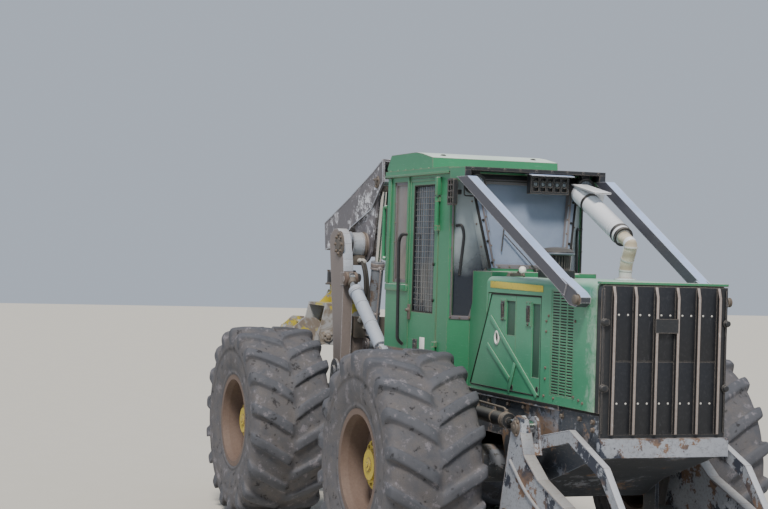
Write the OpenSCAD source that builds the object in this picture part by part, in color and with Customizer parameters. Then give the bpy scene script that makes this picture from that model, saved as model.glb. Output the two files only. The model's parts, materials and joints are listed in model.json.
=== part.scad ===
// Articulated grapple skidder, built at full size in millimetres.
// +X is forward, +Y is the machine's left and +Z is up. The ground is z = 0 and the
// origin lies on it, under the centre of the parked machine's outline.
// Modules are drawn from the front axle, and place() moves them to the origin.

/* [Wheels] */
// Distance between the front and rear axles
wheelbase = 3500; // [3300:10:3700]
// Distance between the left and right tyre centres
track = 2400; // [2360:10:2500]
// Tyre diameter over the worn lugs
tyre_d = 1790; // [1740:10:1830]
// Tyre section width
tyre_w = 775; // [740:5:790]
// Height of the worn lugs above the carcass
lug_h = 36; // [20:1:45]
// Width of a lug across its top
lug_w = 78; // [60:1:90]
// Lugs in each of a tyre's two rows
lug_count = 18; // [17:1:18]
// Angle that a lug trails at the shoulder behind its end at the middle
lug_sweep = 12; // [8:0.5:15]
// Outer diameter of the rim flange
rim_d = 870; // [840:5:890]
// Width across the rim flanges
rim_w = 686; // [650:2:700]
// Depth of the wheel disc behind the outer flange
disc_depth = 210; // [170:5:240]

/* [Front frame] */
// Distance from the front axle back to the articulation pin
joint_back = 1750; // [1730:5:1790]
// Width over the frame side plates
frame_w = 940; // [900:5:960]
// Thickness of the side plates of both frames
frame_t = 25; // [20:1:30]
// Height of the top of the front frame
frame_top = 1465; // [1450:5:1480]
// Distance from the front axle to the face of the bumper
bumper_x = 1990; // [1970:5:2020]
// Height of the bumper bar
bumper_h = 130; // [110:5:150]
// Diameter of the tow pin hole in the bumper
tow_d = 36; // [25:1:40]
// Diameter of the hitch pin hole behind the rear frame
hitch_d = 55; // [40:1:70]
// Thickness of the rear hitch plate
hitch_t = 50; // [30:2:60]

/* [Hood] */
// Width over the hood sides
hood_w = 1000; // [980:5:1020]
// Height of the hood top above the ground
hood_top = 2365; // [2330:5:2400]
// Distance from the front axle to the hood's front edge
hood_front = 1870; // [1850:5:1885]
// Thickness of the hood sheet with its stiffeners
hood_t = 30; // [20:1:36]
// Upright bars on the grille
grille_bars = 6; // [4:1:8]

/* [Cab] */
// Width over the cab sides
cab_w = 1200; // [1160:5:1230]
// Distance from the front axle back to the rear wall
cab_rear = 2000; // [1960:5:2010]
// Distance from the front axle back to the door's hinge line
door_front = 790; // [780:2:800]
// Length of the door along the cab side
door_l = 655; // [620:5:670]
// Height of the underside of the roof header
header_z = 3185; // [3150:5:3210]
// Thickness of the cab walls
cab_t = 40; // [32:1:46]
// Thickness of the polycarbonate windows
glass_t = 10; // [8:1:12]

/* [Blade] */
// Width of the dozer blade
blade_w = 2600; // [2400:10:2700]
// Height of the dozer blade
blade_h = 755; // [700:5:760]
// Height of the cutting edge above the ground, parked
blade_clear = 20; // [10:5:60]

/* [Arch and boom] */
// Width over the arch legs
arch_w = 1080; // [1060:5:1100]
// Width over the boom's side plates
boom_w = 600; // [580:5:620]
// Distance from the rear axle back to the grapple's hanging pin
tip_reach = 1440; // [1400:10:1500]

/* [Grapple] */
// Length of the grapple head along the machine
head_l = 580; // [540:5:600]
// Width of the tongs along the machine
tong_l = 440; // [380:5:460]
// Thickness of the grapple's plates
plate_t = 25; // [20:1:30]

/* [Hidden] */
$fn = 48;
eps = 0.3;
fit = 0.08;
tyre_r = tyre_d / 2;
tip_back = wheelbase + tip_reach;
rim_r = rim_d / 2;
wheel_y = track / 2;
frame_y = frame_w / 2;
rear_frame_y = frame_y - 65;
frame_low = 740;
pin_gap = 5;
blade_front = 2550;
// Places the machine so that its outline's centre is over the origin.
x_front = (tip_back + head_l / 2 - blade_front) / 2;

// Top of the cab's roof header
roof_z = header_z + 56;
// The exhaust stands inside the hood's left edge
exhaust_x = 575;
exhaust_y = hood_w / 2 - 90;
// Engine, from its mounts up
engine_z = 1190;
engine_top = 1780;
// Blade arms: inner face and thickness
arm_y = 655;
arm_t = 70;

// Pin centres of the linkages, as [x, z] from the front axle
art_x = -joint_back;
rear_x = -wheelbase;
arch_pin = [-wheelbase + 50, 1380];
boom_pin = [-wheelbase + 50, 2595];
tip_pin = [-tip_back, 2580];
blade_pin = [950, 600];
lever_pin = [1105, 1290];
blade_base = [-250, 1325];
arch_base = [-joint_back - 550, 1620];
arch_eye = [arch_pin[0] + 192, 2265];
boom_base = [arch_pin[0] + 90, 1640];
boom_eye = [boom_pin[0] + 350, 3195];
// Sideways places of the paired cylinders
arch_cyl_y = arch_w / 2 - 50;
boom_cyl_y = boom_w / 2 - 75;
blade_cyl_y = 620;
steer_y = 200;
steer_z = 1000;
steer_front = art_x + 350;
steer_rear = art_x - 400;
// Front end of the rear frame's side plates and its front cross plate
rear_front = art_x - 400;
rear_plate = art_x - 520;

// Cylinders: barrel radius, rod radius, eye radius, eye width, barrel and rod lengths
arch_cyl = [62, 32, 55, 66, 970, 880];
boom_cyl = [60, 32, 55, 66, 806, 950];
blade_cyl = [52, 26, 50, 54, 1000, 800];
steer_cyl = [42, 24, 38, 50, 460, 480];
tong_cyl = [52, 28, 42, 58, 440, 400];

// Small helpers

module place() {
    translate([x_front, 0, 0]) children();
}

// Draws its children on the left and, mirrored, on the right.
module both() {
    children();
    mirror([0, 1, 0]) children();
}

// A plate cut to an outline in the XZ plane, from y0 to y1.
module plate(y0, y1) {
    translate([0, y1, 0]) rotate([90, 0, 0]) linear_extrude(y1 - y0) children();
}

// A box between two corners.
module box(a, b) {
    translate(a) cube([b[0] - a[0], b[1] - a[1], b[2] - a[2]]);
}

// A round bar along Y from y0 to y1, centred on p = [x, z].
module bar_y(p, r, y0, y1) {
    translate([p[0], y1, p[1]]) rotate([90, 0, 0]) cylinder(r = r, h = y1 - y0);
}

// A round-ended flat outline between two points, of half width r.
module link_2d(a, b, r) {
    d = b - a;
    n = norm(d);
    translate(a) rotate(atan2(d[1], d[0])) translate([0, -r * 0.97]) square([n, 1.94 * r]);
    translate(a) circle(r);
    translate(b) circle(r);
}

// Stands its children at a, with their +X pointing to b in the XZ plane.
module along(a, b, y) {
    translate([a[0], y, a[1]]) rotate([0, -atan2(b[1] - a[1], b[0] - a[0]), 0]) children();
}

// Hydraulic cylinder body: an eye at the origin, a neck and a bored barrel along +X.
module barrel(c) {
    start = c[2] + 25;
    difference() {
        union() {
            translate([0, c[3] / 2, 0]) rotate([90, 0, 0]) cylinder(r = c[2], h = c[3]);
            translate([0, -c[3] / 2, -c[2] * 0.7]) cube([start + 10, c[3], c[2] * 1.4]);
            translate([start, 0, 0]) rotate([0, 90, 0]) cylinder(r = c[0], h = c[4] - start - 50);
            translate([c[4] - 55, 0, 0]) rotate([0, 90, 0]) cylinder(r = c[0] + 6, h = 55);
        }
        translate([start + 15, 0, 0]) rotate([0, 90, 0]) cylinder(r = c[1] + fit, h = c[4]);
        translate([0, c[3], 0]) rotate([90, 0, 0]) cylinder(r = c[2] / 2, h = 2 * c[3]);
    }
}

// Piston rod: an eye at the origin and a chromed bar along -X.
module rod(c) {
    translate([0, c[3] / 2, 0]) rotate([90, 0, 0]) cylinder(r = c[2], h = c[3]);
    translate([-c[5], 0, 0]) rotate([0, 90, 0]) cylinder(r = c[1], h = c[5] - c[2] * 0.5);
}

// Two cheeks beside a cylinder's eye at p = [x, z], with their web and a pin head on each.
module cheeks(p, y, c, r, t) {
    gap = c[3] / 2 + pin_gap;
    for (y0 = [y - gap - t, y + gap])
        plate(y0, y0 + t) {
            circle_at(p, r);
            children();
        }
    bar_y(p, c[2] / 2 - fit, y - gap - t - 12, y - gap);
    bar_y(p, c[2] / 2 - fit, y + gap, y + gap + t + 12);
}

// Cheeks whose pin runs right through the eye of a barrel.
module base_cheeks(p, y, c, r, t) {
    cheeks(p, y, c, r, t) children();
    bar_y(p, c[2] / 2 - fit, y - c[3] / 2 - pin_gap, y + c[3] / 2 + pin_gap);
}

// Wheels

// A tyre is a closed grid of rings. Each lug takes four points of a fine ring: the foot of
// its rear face, the two edges of its top and the foot of its front face. The left row's
// lugs lie half a pitch from the right row's.
lug_pitch = 360 / lug_count;
lug_r = tyre_r / cos(lug_w / 2 / tyre_r * 180 / PI);
lug_top = lug_w / 2 / tyre_r * 180 / PI;
lug_foot = lug_top + 23 / tyre_r * 180 / PI;

// Angle from the middle of its lug, and whether it is on the top, for place m of a lug
lug_angle = [-lug_foot, -lug_top, lug_top, lug_foot];
lug_up = [0, 1, 1, 0];

// Fine ring at offset y: [radius, offset] of the groove's floor and of the lug's top.
function fine_ring(floor_at, top_at, side) = [
    for (i = [0 : 4 * lug_count - 1])
        let (
            j = side > 0 ? i : i + 2,
            m = j % 4,
            a = (floor(j / 4) - (side > 0 ? 0 : 0.5)) * lug_pitch + lug_angle[m],
            q = lug_up[m] == 1 ? top_at : floor_at
        )
        ring_point(q, a - lug_sweep * (abs(q[1]) - 34) / (tyre_w / 2 - 34))
];

// Plain ring of n points.
function plain_ring(q, n) = [
    for (i = [0 : n - 1]) ring_point(q, (i + 0.5) * 360 / n - lug_pitch / 2 - lug_sweep)
];

// The angle starts at the ground and grows backwards.
function ring_point(q, a) = [-q[0] * sin(a), q[1], -q[0] * cos(a)];

// Faces between ring a and ring b, whose first points have numbers a0 and b0.
function same_rings(a0, b0, n) = [
    for (i = [0 : n - 1]) let (k = (i + 1) % n) each [[a0 + i, b0 + i, b0 + k], [a0 + i, b0 + k, a0 + k]]
];
function to_finer(a0, b0, n) = [
    for (i = [0 : n - 1]) let (k = (i + 1) % n) each [
        [a0 + i, b0 + 2 * i, b0 + 2 * i + 1], [a0 + i, b0 + 2 * i + 1, b0 + 2 * k], [a0 + i, b0 + 2 * k, a0 + k]
    ]
];
function to_coarser(a0, b0, n) = [
    for (i = [0 : n - 1]) let (k = (i + 1) % n) each [
        [a0 + 2 * i, b0 + i, a0 + 2 * i + 1], [a0 + 2 * i + 1, b0 + i, b0 + k], [a0 + 2 * i + 1, b0 + k, a0 + 2 * k]
    ]
];

// Carcass on the Y axis with its two rows of slanting lugs, hollow inside.
module tyre() {
    n = 2 * lug_count;
    half = tyre_w / 2;
    seat_r = (rim_r - 32) / cos(180 / n);
    crown = tyre_r - lug_h;
    mid = rim_r + (crown - rim_r) * 0.5;
    // Inside from the left to the right, then outside from the right to the left
    rings = [
        plain_ring([mid - 20, half - 60], lug_count),
        plain_ring([crown - 45, half * 0.55], lug_count),
        plain_ring([crown - 45, -half * 0.55], lug_count),
        plain_ring([mid - 20, 60 - half], lug_count),
        plain_ring([seat_r - 1, 62 - rim_w / 2], n),
        plain_ring([seat_r, 18 - rim_w / 2], n),
        plain_ring([mid, 14 - half], n),
        fine_ring([crown - 105, 20 - half], [crown - 85, -half], -1),
        fine_ring([crown - 34, 62 - half], [lug_r - 22, 26 - half], -1),
        fine_ring([crown, -34], [lug_r, -34], -1),
        fine_ring([crown, 34], [lug_r, 34], 1),
        fine_ring([crown - 34, half - 62], [lug_r - 22, half - 26], 1),
        fine_ring([crown - 105, half - 20], [crown - 85, half], 1),
        plain_ring([mid, half - 14], n),
        plain_ring([seat_r, rim_w / 2 - 18], n),
        plain_ring([seat_r - 1, rim_w / 2 - 62], n)
    ];
    first = [for (i = 0, t = 0; i < len(rings); t = t + len(rings[i]), i = i + 1) t];
    color("dimgray") polyhedron(
        points = [for (r = rings) each r],
        faces = [
            for (i = [0 : len(rings) - 1])
                let (k = (i + 1) % len(rings), a = len(rings[i]), b = len(rings[k]))
                each a == b ? same_rings(first[i], first[k], a)
                    : a < b ? to_finer(first[i], first[k], a) : to_coarser(first[i], first[k], b)
        ],
        convexity = 6
    );
}

// Rim, disc and planet hub; the outside of the wheel points to -Y.
module rim() {
    face = rim_w / 2 - disc_depth;
    color("goldenrod") rotate([90, 0, 0]) {
        rotate_extrude() polygon([
            [rim_r - 55, -rim_w / 2 + 14], [rim_r - 32 - eps, -rim_w / 2 + 14],
            [rim_r, -rim_w / 2 + 4], [rim_r, -rim_w / 2], [rim_r - 48, -rim_w / 2],
            [rim_r - 60, -rim_w / 2 + 60], [rim_r - 60, rim_w / 2 - 60], [rim_r - 48, rim_w / 2],
            [rim_r, rim_w / 2], [rim_r, rim_w / 2 - 4], [rim_r - 32 - eps, rim_w / 2 - 14],
            [rim_r - 35 - eps, rim_w / 2 - 60], [rim_r - 35 - eps, -rim_w / 2 + 60]
        ]);
        translate([0, 0, face - 30]) cylinder(r = rim_r - 50, h = 30);
        translate([0, 0, face - 1]) cylinder(r = 190, h = 76);
        translate([0, 0, face + 74]) cylinder(r = 120, h = 40);
    }
}

module wheel_at(x, side) {
    translate([x, side * wheel_y, tyre_r]) rotate([0, 0, side > 0 ? 180 : 0]) children();
}

// A tyre isn't turned round on the left, because its lugs point the same way on both sides.
module tyre_at(x, side) {
    translate([x, side * wheel_y, tyre_r]) mirror([0, side > 0 ? 1 : 0, 0]) children();
}

// Axle housing, final drives and the pad that carries the frame.
module axle(x) {
    inner = wheel_y + rim_w / 2 - disc_depth - 30 - eps;
    color("darkslategray") translate([x, 0, 0]) {
        bar_y([0, tyre_r], 150, -inner, inner);
        bar_y([0, tyre_r], 205, inner - 230, inner);
        bar_y([0, tyre_r], 205, -inner, -inner + 230);
        translate([0, 0, tyre_r]) sphere(r = 240);
        box([-200, -150, tyre_r], [200, 150, 1150]);
    }
}

// Front frame

front_outline = [
    [-1340, frame_top], [bumper_x - 60, frame_top], [bumper_x - 60, frame_top - 170 - bumper_h],
    [1150, 905], [850, frame_low], [480, frame_low], [300, 1150], [-300, 1150],
    [-480, frame_low], [-1340, frame_low]
];

module front_frame() {
    inner = frame_y - frame_t;
    color("darkslategray") {
        both() plate(inner, frame_y) polygon(front_outline);
        plate(-inner, inner) {
            polygon([
                [bumper_x - 60, frame_top - 170 - bumper_h], [1150, 905], [850, frame_low], [480, frame_low],
                [480, frame_low + 20], [842, frame_low + 20], [1141, 924],
                [bumper_x - 60, frame_top - 150 - bumper_h]
            ]);
            translate([-1340, frame_low]) square([860, 20]);
            translate([-300, 1150]) square([600, 30]);
            translate([-1340, frame_low]) square([30, frame_top - frame_low]);
            translate([bumper_x - 120, frame_top - 166 - bumper_h]) square([60, 136 + bumper_h]);
            translate([360, 1125]) square([90, engine_z - 1125]);
            translate([1180, 1065]) square([90, engine_z - 1065]);
        }
        // Hinge plates of the articulation, with their pins
        for (z = [frame_low, 1290]) {
            translate([0, 0, z]) linear_extrude(50) {
                translate([art_x, -145]) square([joint_back - 1315, 290]);
                translate([art_x, 0]) circle(150);
            }
        }
        translate([art_x, 0, frame_low + 10]) cylinder(r = 45 - fit, h = 96);
        translate([art_x, 0, 1236]) cylinder(r = 45 - fit, h = 74);
        // Lips under the hood's sides
        both() box([-300, frame_y, frame_top - 36], [1320, hood_w / 2, frame_top]);
        // Bosses and pins of the blade arms
        both() {
            plate(frame_y - 5, frame_y + 25) link_2d([blade_pin[0], frame_low + 90], blade_pin, 95);
            bar_y(blade_pin, 75, frame_y - 5, arm_y - pin_gap);
            bar_y(blade_pin, 45 - fit, frame_y, arm_y + arm_t + 15);
            bar_y(blade_pin, 62, arm_y + arm_t + pin_gap, arm_y + arm_t + 22);
        }
        // Base clevis of the blade cylinders
        both() {
            box([blade_base[0] - 90, frame_y - 5, blade_base[1] - 60], [blade_base[0] - 60, 680, blade_base[1] + 60]);
            base_cheeks(blade_base, blade_cyl_y, blade_cyl, 52, 18)
                translate([blade_base[0] - 75, blade_base[1] - 52]) square([75, 104]);
        }
        // Base eyes of the steering cylinders
        both() {
            steer_ears(steer_front, -1320);
            translate([steer_front, steer_y, steer_z - 60]) cylinder(r = steer_cyl[2] / 2 - fit, h = 120);
        }
    }
}

// Two flat ears around a steering pin at x, reaching to the plate at x_plate.
module steer_ears(x, x_plate) {
    gap = steer_cyl[3] / 2 + pin_gap;
    for (z = [steer_z - gap - 22, steer_z + gap])
        translate([0, 0, z]) linear_extrude(22) {
            translate([x, steer_y]) circle(46);
            translate([min(x, x_plate), steer_y - 44]) square([abs(x - x_plate), 88]);
        }
}

module circle_at(p, r) {
    translate(p) circle(r);
}

// Bumper bar with an upright tow pin hole at its middle.
module front_bumper() {
    top = frame_top - 170;
    color("lightgray") difference() {
        box([bumper_x - 60, -hood_w / 2, top - bumper_h], [bumper_x, hood_w / 2, top]);
        translate([bumper_x - 30, 0, top - bumper_h - 1]) cylinder(r = tow_d / 2, h = bumper_h + 2);
    }
}

module engine_block() {
    color("black") box([340, -330, engine_z], [1350, 330, engine_top]);
}

module side_steps() {
    color("black") both() {
        box([-1330, frame_y, 1000], [-930, 700, 1400]);
        for (z = [520, 760])
            box([-1300, 560, z], [-960, 760, z + 30]);
        for (x = [-1300, -980])
            box([x, 600, 520], [x + 20, 640, 1000]);
    }
}

// Hood

module hood_section(grow) {
    r = 60;
    w = hood_w / 2 + grow;
    h = hood_top + grow;
    translate([-w, frame_top - 30]) square([2 * w, h - frame_top + 30 - r]);
    translate([-w + r, frame_top]) square([2 * w - 2 * r, h - frame_top]);
    for (s = [-1, 1])
        translate([s * (w - r), h - r]) circle(r);
}

// Draws a YZ outline from x0 to x1.
module sweep_x(x0, x1) {
    translate([x0, 0, 0]) rotate([90, 0, 90]) linear_extrude(x1 - x0) children();
}

module hood() {
    color("seagreen") difference() {
        sweep_x(0, hood_front) difference() {
            hood_section(0);
            translate([0, -1]) hood_section(-hood_t);
            translate([-hood_w, 0]) square([2 * hood_w, frame_top + eps]);
        }
        both() plate(hood_w / 2 - 60, hood_w / 2 + 10) panel_outline(0);
        both() plate(hood_w / 2 - 60, hood_w / 2 + 10) screen_outline();
        // Hole for the exhaust pipe
        translate([exhaust_x, exhaust_y, hood_top - 100]) cylinder(r = 62, h = 200);
    }
}

// Opening of the side panel, with its slanting rear edge.
module panel_outline(grow) {
    polygon([
        [-400, frame_top - 60], [1000 + grow, frame_top - 60], [1000 + grow, 2240 + grow],
        [30 - grow, 2240 + grow], [10 - grow, 2080], [-400, 1200]
    ]);
}

module screen_outline() {
    translate([1167, frame_top + 65]) square([380, 2290 - frame_top - 65]);
}

// A flat bar of width w from a to b, on the panel's face.
module rib(a, b, w, y0, y1) {
    plate(y0, y1) translate(a) rotate(atan2(b[1] - a[1], b[0] - a[0])) translate([0, -w / 2])
        square([norm(b - a), w]);
}

module hood_side_panels() {
    face = hood_w / 2 - 4;
    color("mediumseagreen") both() {
        difference() {
            plate(hood_w / 2 - hood_t, face) intersection() {
                panel_outline(-8);
                translate([8 - 400, frame_top + eps]) square([1400, 900]);
            }
            // Sunk handles, and the seam between the two leaves
            box([374, face - 14, 1923], [534, face + 1, 2185]);
            box([840, face - 14, 1633], [975, face + 1, 2178]);
            box([548, face - 8, 1715], [554, face + 1, 2300]);
        }
        // Latch plates and stiffening bars
        box([277, face, 2039], [368, face + 8, 2195]);
        box([737, face, 2009], [828, face + 8, 2191]);
        rib([91, 2047], [960, 1499], 30, face, face + 6);
        rib([40, 1829], [463, 1591], 30, face, face + 6);
        rib([564, 1716], [458, 1496], 30, face, face + 6);
        // Slotted panel
        plate(hood_w / 2 - hood_t, hood_w / 2 - 8) difference() {
            screen_outline();
            for (x = [1182 : 117 : 1416], i = [0 : 16])
                translate([x, frame_top + 92 + i * 42]) square([98, 22]);
        }
    }
}

module grille() {
    z0 = frame_top - 170;
    pitch = (hood_w - 175) / (grille_bars - 1);
    color("black") {
        sweep_x(hood_front + eps, bumper_x - 60) difference() {
            hood_section(-6);
            translate([-hood_w, 0]) square([2 * hood_w, frame_top + eps]);
        }
        box([bumper_x - 60, -hood_w / 2 + 12, z0 + eps], [bumper_x - 40, hood_w / 2 - 12, hood_top - 20]);
        for (z = [1640, 2093])
            translate([bumper_x - 41, 30 - hood_w / 2, z]) rotate([0, 90, 0]) cylinder(r = 24, h = 26);
    }
    // Bars, with their tops leaning back, and a blank plate on two of them
    color("silver") {
        for (i = [0 : grille_bars - 1])
            plate(i * pitch - hood_w / 2 + 78, i * pitch - hood_w / 2 + 96) polygon([
                [bumper_x - 41, z0 + 25], [bumper_x - 11, z0 + 25], [bumper_x - 11, hood_top - 95],
                [bumper_x - 33, hood_top - 26], [bumper_x - 41, hood_top - 26]
            ]);
        box([bumper_x - 12, -98, 2023], [bumper_x - 6, 82, 2122]);
    }
}

// Limb risers: square tubes from the canopy corners down to the hood sides.
riser_top = [-205, header_z - 35];
riser_low = [1700, hood_top - 130];

module limb_risers() {
    y_top = cab_w / 2 + 12;
    y_low = hood_w / 2 + 48;
    run = sqrt(pow(riser_low[0] - riser_top[0], 2) + pow(riser_top[1] - riser_low[1], 2));
    color("slategray") both() {
        difference() {
            translate([riser_top[0], y_top, riser_top[1]])
                rotate([0, atan2(riser_top[1] - riser_low[1], riser_low[0] - riser_top[0]), 0])
                rotate([0, 0, -atan2(y_top - y_low, run)])
                translate([-150, -40, -45]) cube([run - 2, 80, 90]);
            translate([riser_top[0] - 400, 0, riser_top[1]]) cube([600, 1000, 300]);
        }
        plate(hood_w / 2 + eps, hood_w / 2 + 85) polygon([
            [1380, hood_top - 40], [1480, hood_top + 20], [1730, hood_top - 75], [1785, hood_top - 110],
            [1780, hood_top - 150], [1720, hood_top - 180], [1620, hood_top - 165]
        ]);
    }
}

module exhaust() {
    a = [-250, 3060];
    b = [525, 2700];
    low = [632, 2652];
    color("gainsboro") {
        along(a, b, exhaust_y) rotate([0, 90, 0]) cylinder(r = 74, h = norm(b - a));
        for (x = [190, 700])
            along(a, b, exhaust_y) translate([x, 0, 0]) rotate([0, 90, 0]) cylinder(r = 79, h = 22);
        along(b, low, exhaust_y) rotate([0, 90, 0]) cylinder(r = 45, h = 112);
        translate([low[0], exhaust_y, low[1]]) sphere(r = 52);
        along(low, [exhaust_x, 2500], exhaust_y) rotate([0, 90, 0]) cylinder(r = 45, h = 162);
        translate([exhaust_x, exhaust_y, 2500]) sphere(r = 46);
        translate([exhaust_x, exhaust_y, engine_top]) cylinder(r = 45, h = 2500 - engine_top);
        translate([exhaust_x, exhaust_y, hood_top + eps]) cylinder(r = 85, h = 12);
        // Heat shield over the upper end
        along([-257, 3118], [165, 3040], exhaust_y) translate([0, -72, -4]) cube([429, 144, 8]);
    }
    color("black") along(a, b, exhaust_y) translate([120, -60, 0]) cube([60, 190, 80]);
}

// Air cleaner cap, its stack and the box that carries it on the hood.
module air_intake() {
    color("black") translate([411, -100, hood_top]) {
        box([-120, -100, eps], [120, 100, 62]);
        translate([0, 0, 60]) cylinder(r = 82, h = 130);
        rotate_extrude() polygon([[0, 176], [120, 176], [136, 190], [134, 204], [104, 228], [50, 240], [0, 242]]);
    }
}

// Cab

cab_y = cab_w / 2;
post_front = -560;
ws_low = [-295, 340, 2430];
ws_high = [-400, 445, header_z - 195];
cab_floor = frame_top + eps;
door_knuckle_z = [1560, 2760];
// The cab's rear bay stands on a raised floor, clear of the arch cylinders' base.
rear_step = -1500;
rear_sill = 1700;

// Outline of the cab shell from above, shrunk by g.
module upper_plan(g) {
    polygon([
        [-cab_rear + g, -cab_y + g], [post_front - g * 0.4, -cab_y + g],
        [ws_low[0] - g, -ws_low[1] + g * 0.4], [ws_low[0] - g, ws_low[1] - g * 0.4],
        [post_front - g * 0.4, cab_y - g], [-cab_rear + g, cab_y - g]
    ]);
}

// The windscreen leans back; this is its face at height z.
function ws_x(z) = ws_low[0] - (z - ws_low[2]) * (ws_low[0] - ws_high[0]) / (ws_high[2] - ws_low[2]);
cowl_z = ws_low[2] - 30;

// Opening of the windscreen, shrunk by g, narrower at its foot.
module ws_opening(g) {
    low = ws_low[1] - 48 - g;
    high = ws_high[1] - 22 - g;
    sweep_x(-700, -90) polygon([
        [-low, ws_low[2] + g], [low, ws_low[2] + g], [high, header_z - 50 - g], [-high, header_z - 50 - g]
    ]);
}

module cab_body() {
    color("seagreen") difference() {
        union() {
            difference() {
                translate([0, 0, cab_floor]) linear_extrude(header_z - cab_floor) upper_plan(0);
                box([-cab_rear - 1, -cab_y - 1, cab_floor - 1], [rear_step, cab_y + 1, rear_sill]);
                difference() {
                    translate([0, 0, cab_floor + cab_t]) linear_extrude(header_z - cab_floor) upper_plan(cab_t);
                    box([-cab_rear - 1, -cab_y - 1, cab_floor], [rear_step + cab_t, cab_y + 1, rear_sill + cab_t]);
                }
            }
            // Front wall around the windscreen
            intersection() {
                plate(-cab_y, cab_y) polygon([
                    [ws_x(cowl_z), cowl_z], [ws_x(header_z), header_z],
                    [ws_x(header_z) - 48, header_z], [ws_x(cowl_z) - 48, cowl_z]
                ]);
                translate([0, 0, cab_floor]) linear_extrude(header_z - cab_floor) upper_plan(0);
            }
            box([-430, -460, cab_floor], [-8, 460, cowl_z]);
        }
        box([-520, -460 + cab_t, cab_floor + cab_t], [-8 - cab_t, 460 - cab_t, cowl_z - 100]);
        // All that stands before the windscreen's face
        plate(-cab_y - 1, cab_y + 1) polygon([
            [ws_x(cowl_z), cowl_z], [-100, cowl_z], [-100, header_z + 1], [ws_x(header_z + 1), header_z + 1]
        ]);
        ws_opening(0);
        // Doors, rear side windows and rear window
        both() {
            box([-door_front - door_l - pin_gap, cab_y - cab_t - 20, 1500], [-door_front + pin_gap, cab_y + 20, header_z - 23]);
            box([-1830, cab_y - cab_t - 20, 2270], [-1490, cab_y + 20, header_z - 45]);
        }
        box([-cab_rear - 20, -440, 2300], [-cab_rear + cab_t + 20, 440, header_z - 65]);
        // Quarter windows beside the windscreen
        both() quarter_cut(-30, 80);
    }
    color("seagreen") both() door_knuckles();
}

// The quarter window stands between the door post and the windscreen's edge.
quarter_len = norm([ws_low[0] - post_front, cab_y - ws_low[1]]);
module quarter_cut(d0, d1) {
    translate([post_front, cab_y, 0])
        rotate([0, 0, -atan2(cab_y - ws_low[1], ws_low[0] - post_front)])
        rotate([90, 0, 0]) translate([0, 0, d0]) linear_extrude(d1 - d0)
        quarter_outline(0);
}

module quarter_outline(g) {
    polygon([
        [40 + g, 2030 + g], [quarter_len * 0.52 - g, 2030 + g], [quarter_len - 55 - 1.5 * g, 2420],
        [quarter_len - 225 - 1.5 * g, header_z - 55 - g], [40 + g, header_z - 55 - g]
    ]);
}

// Fixed knuckles above and below each of the doors' own, with their blocks on the post.
module door_knuckles() {
    for (z = door_knuckle_z)
        for (z0 = [z - 40 - eps, z + 200 + eps]) {
            translate([-door_front - 2, cab_y + 20, z0]) cylinder(r = 20, h = 40);
            box([-door_front + 1, cab_y - 10, z0], [-door_front + 26, cab_y + 18, z0 + 40]);
        }
}

module cab_roof() {
    color("seagreen") {
        // Header frame and canopy plate
        difference() {
            box([-cab_rear - 20, -cab_y - 22, header_z + eps], [post_front + 10, cab_y + 22, roof_z]);
            box([-cab_rear + 60, -cab_y + 60, header_z - 1], [post_front - 100, cab_y - 60, roof_z - 20]);
        }
        box([post_front + 10, -cab_y - 22, header_z + 20], [-215, cab_y + 22, roof_z - 13]);
        box([post_front + 5, -500, header_z + eps], [-425, 500, header_z + 21]);
        // Brackets that hold the limb risers
        both() plate(cab_y - 28, cab_y + 22) polygon([
            [post_front + 31, header_z - 35], [-345, header_z - 68], [-323, header_z - 68],
            [-323, header_z - 35 + eps], [-215, header_z - 35 + eps], [-215, header_z + 21],
            [post_front + 31, header_z + 21]
        ]);
        // Cap with its sloping front
        plate(-580, 580) polygon([
            [-2060, roof_z], [-1010, roof_z], [-1020, roof_z + 94], [-1255, roof_z + 136],
            [-1399, roof_z + 152], [-1992, roof_z + 147], [-2092, roof_z + 30]
        ]);
    }
}

module cab_glass() {
    color("lightsteelblue", 0.4) {
        intersection() {
            plate(-cab_y, cab_y) polygon([
                [ws_x(2400) - 22 - glass_t, 2400], [ws_x(2400) - 22, 2400],
                [ws_x(header_z) - 22, header_z], [ws_x(header_z) - 22 - glass_t, header_z]
            ]);
            ws_opening(eps);
        }
        both() {
            box([-1830 + eps, cab_y - 15 - glass_t, 2270 + eps], [-1490 - eps, cab_y - 15, header_z - 45 - eps]);
            quarter_pane();
        }
        box([-cab_rear + 10, -440 + eps, 2300 + eps], [-cab_rear + 10 + glass_t, 440 - eps, header_z - 65 - eps]);
    }
}

module quarter_pane() {
    translate([post_front, cab_y, 0])
        rotate([0, 0, -atan2(cab_y - ws_low[1], ws_low[0] - post_front)])
        rotate([90, 0, 0]) translate([0, 0, 12]) linear_extrude(glass_t) quarter_outline(eps);
}

module rear_guard() {
    x = -cab_rear - 90;
    color("seagreen") {
        difference() {
            box([x, -500, 2250], [x + 25, 500, header_z - 35]);
            box([x - 1, -460, 2290], [x + 26, 460, header_z - 75]);
        }
        for (i = [-4 : 4])
            box([x + 5, i * 92 - 5, 2280], [x + 15, i * 92 + 5, header_z - 65]);
        for (y = [-490, 470], z = [2260, header_z - 75])
            box([x + 20, y, z], [-cab_rear, y + 20, z + 30]);
    }
}

// Round lamps under the canopy, each in a box with a barred front, and a wide one between.
module work_lamps() {
    z = header_z + 20 - eps;
    color("black") {
        both() {
            translate([-365, 488, z - 110]) rotate([0, 90, 0]) cylinder(r = 78, h = 72);
            box([-360, 453, z - 40], [-300, 523, z]);
        }
        difference() {
            box([-300, -40, z - 170], [-225, 300, z]);
            for (y = [-20 : 64 : 236])
                box([-250, y, z - 150], [-224, y + 46, z - 40]);
        }
    }
}

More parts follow.
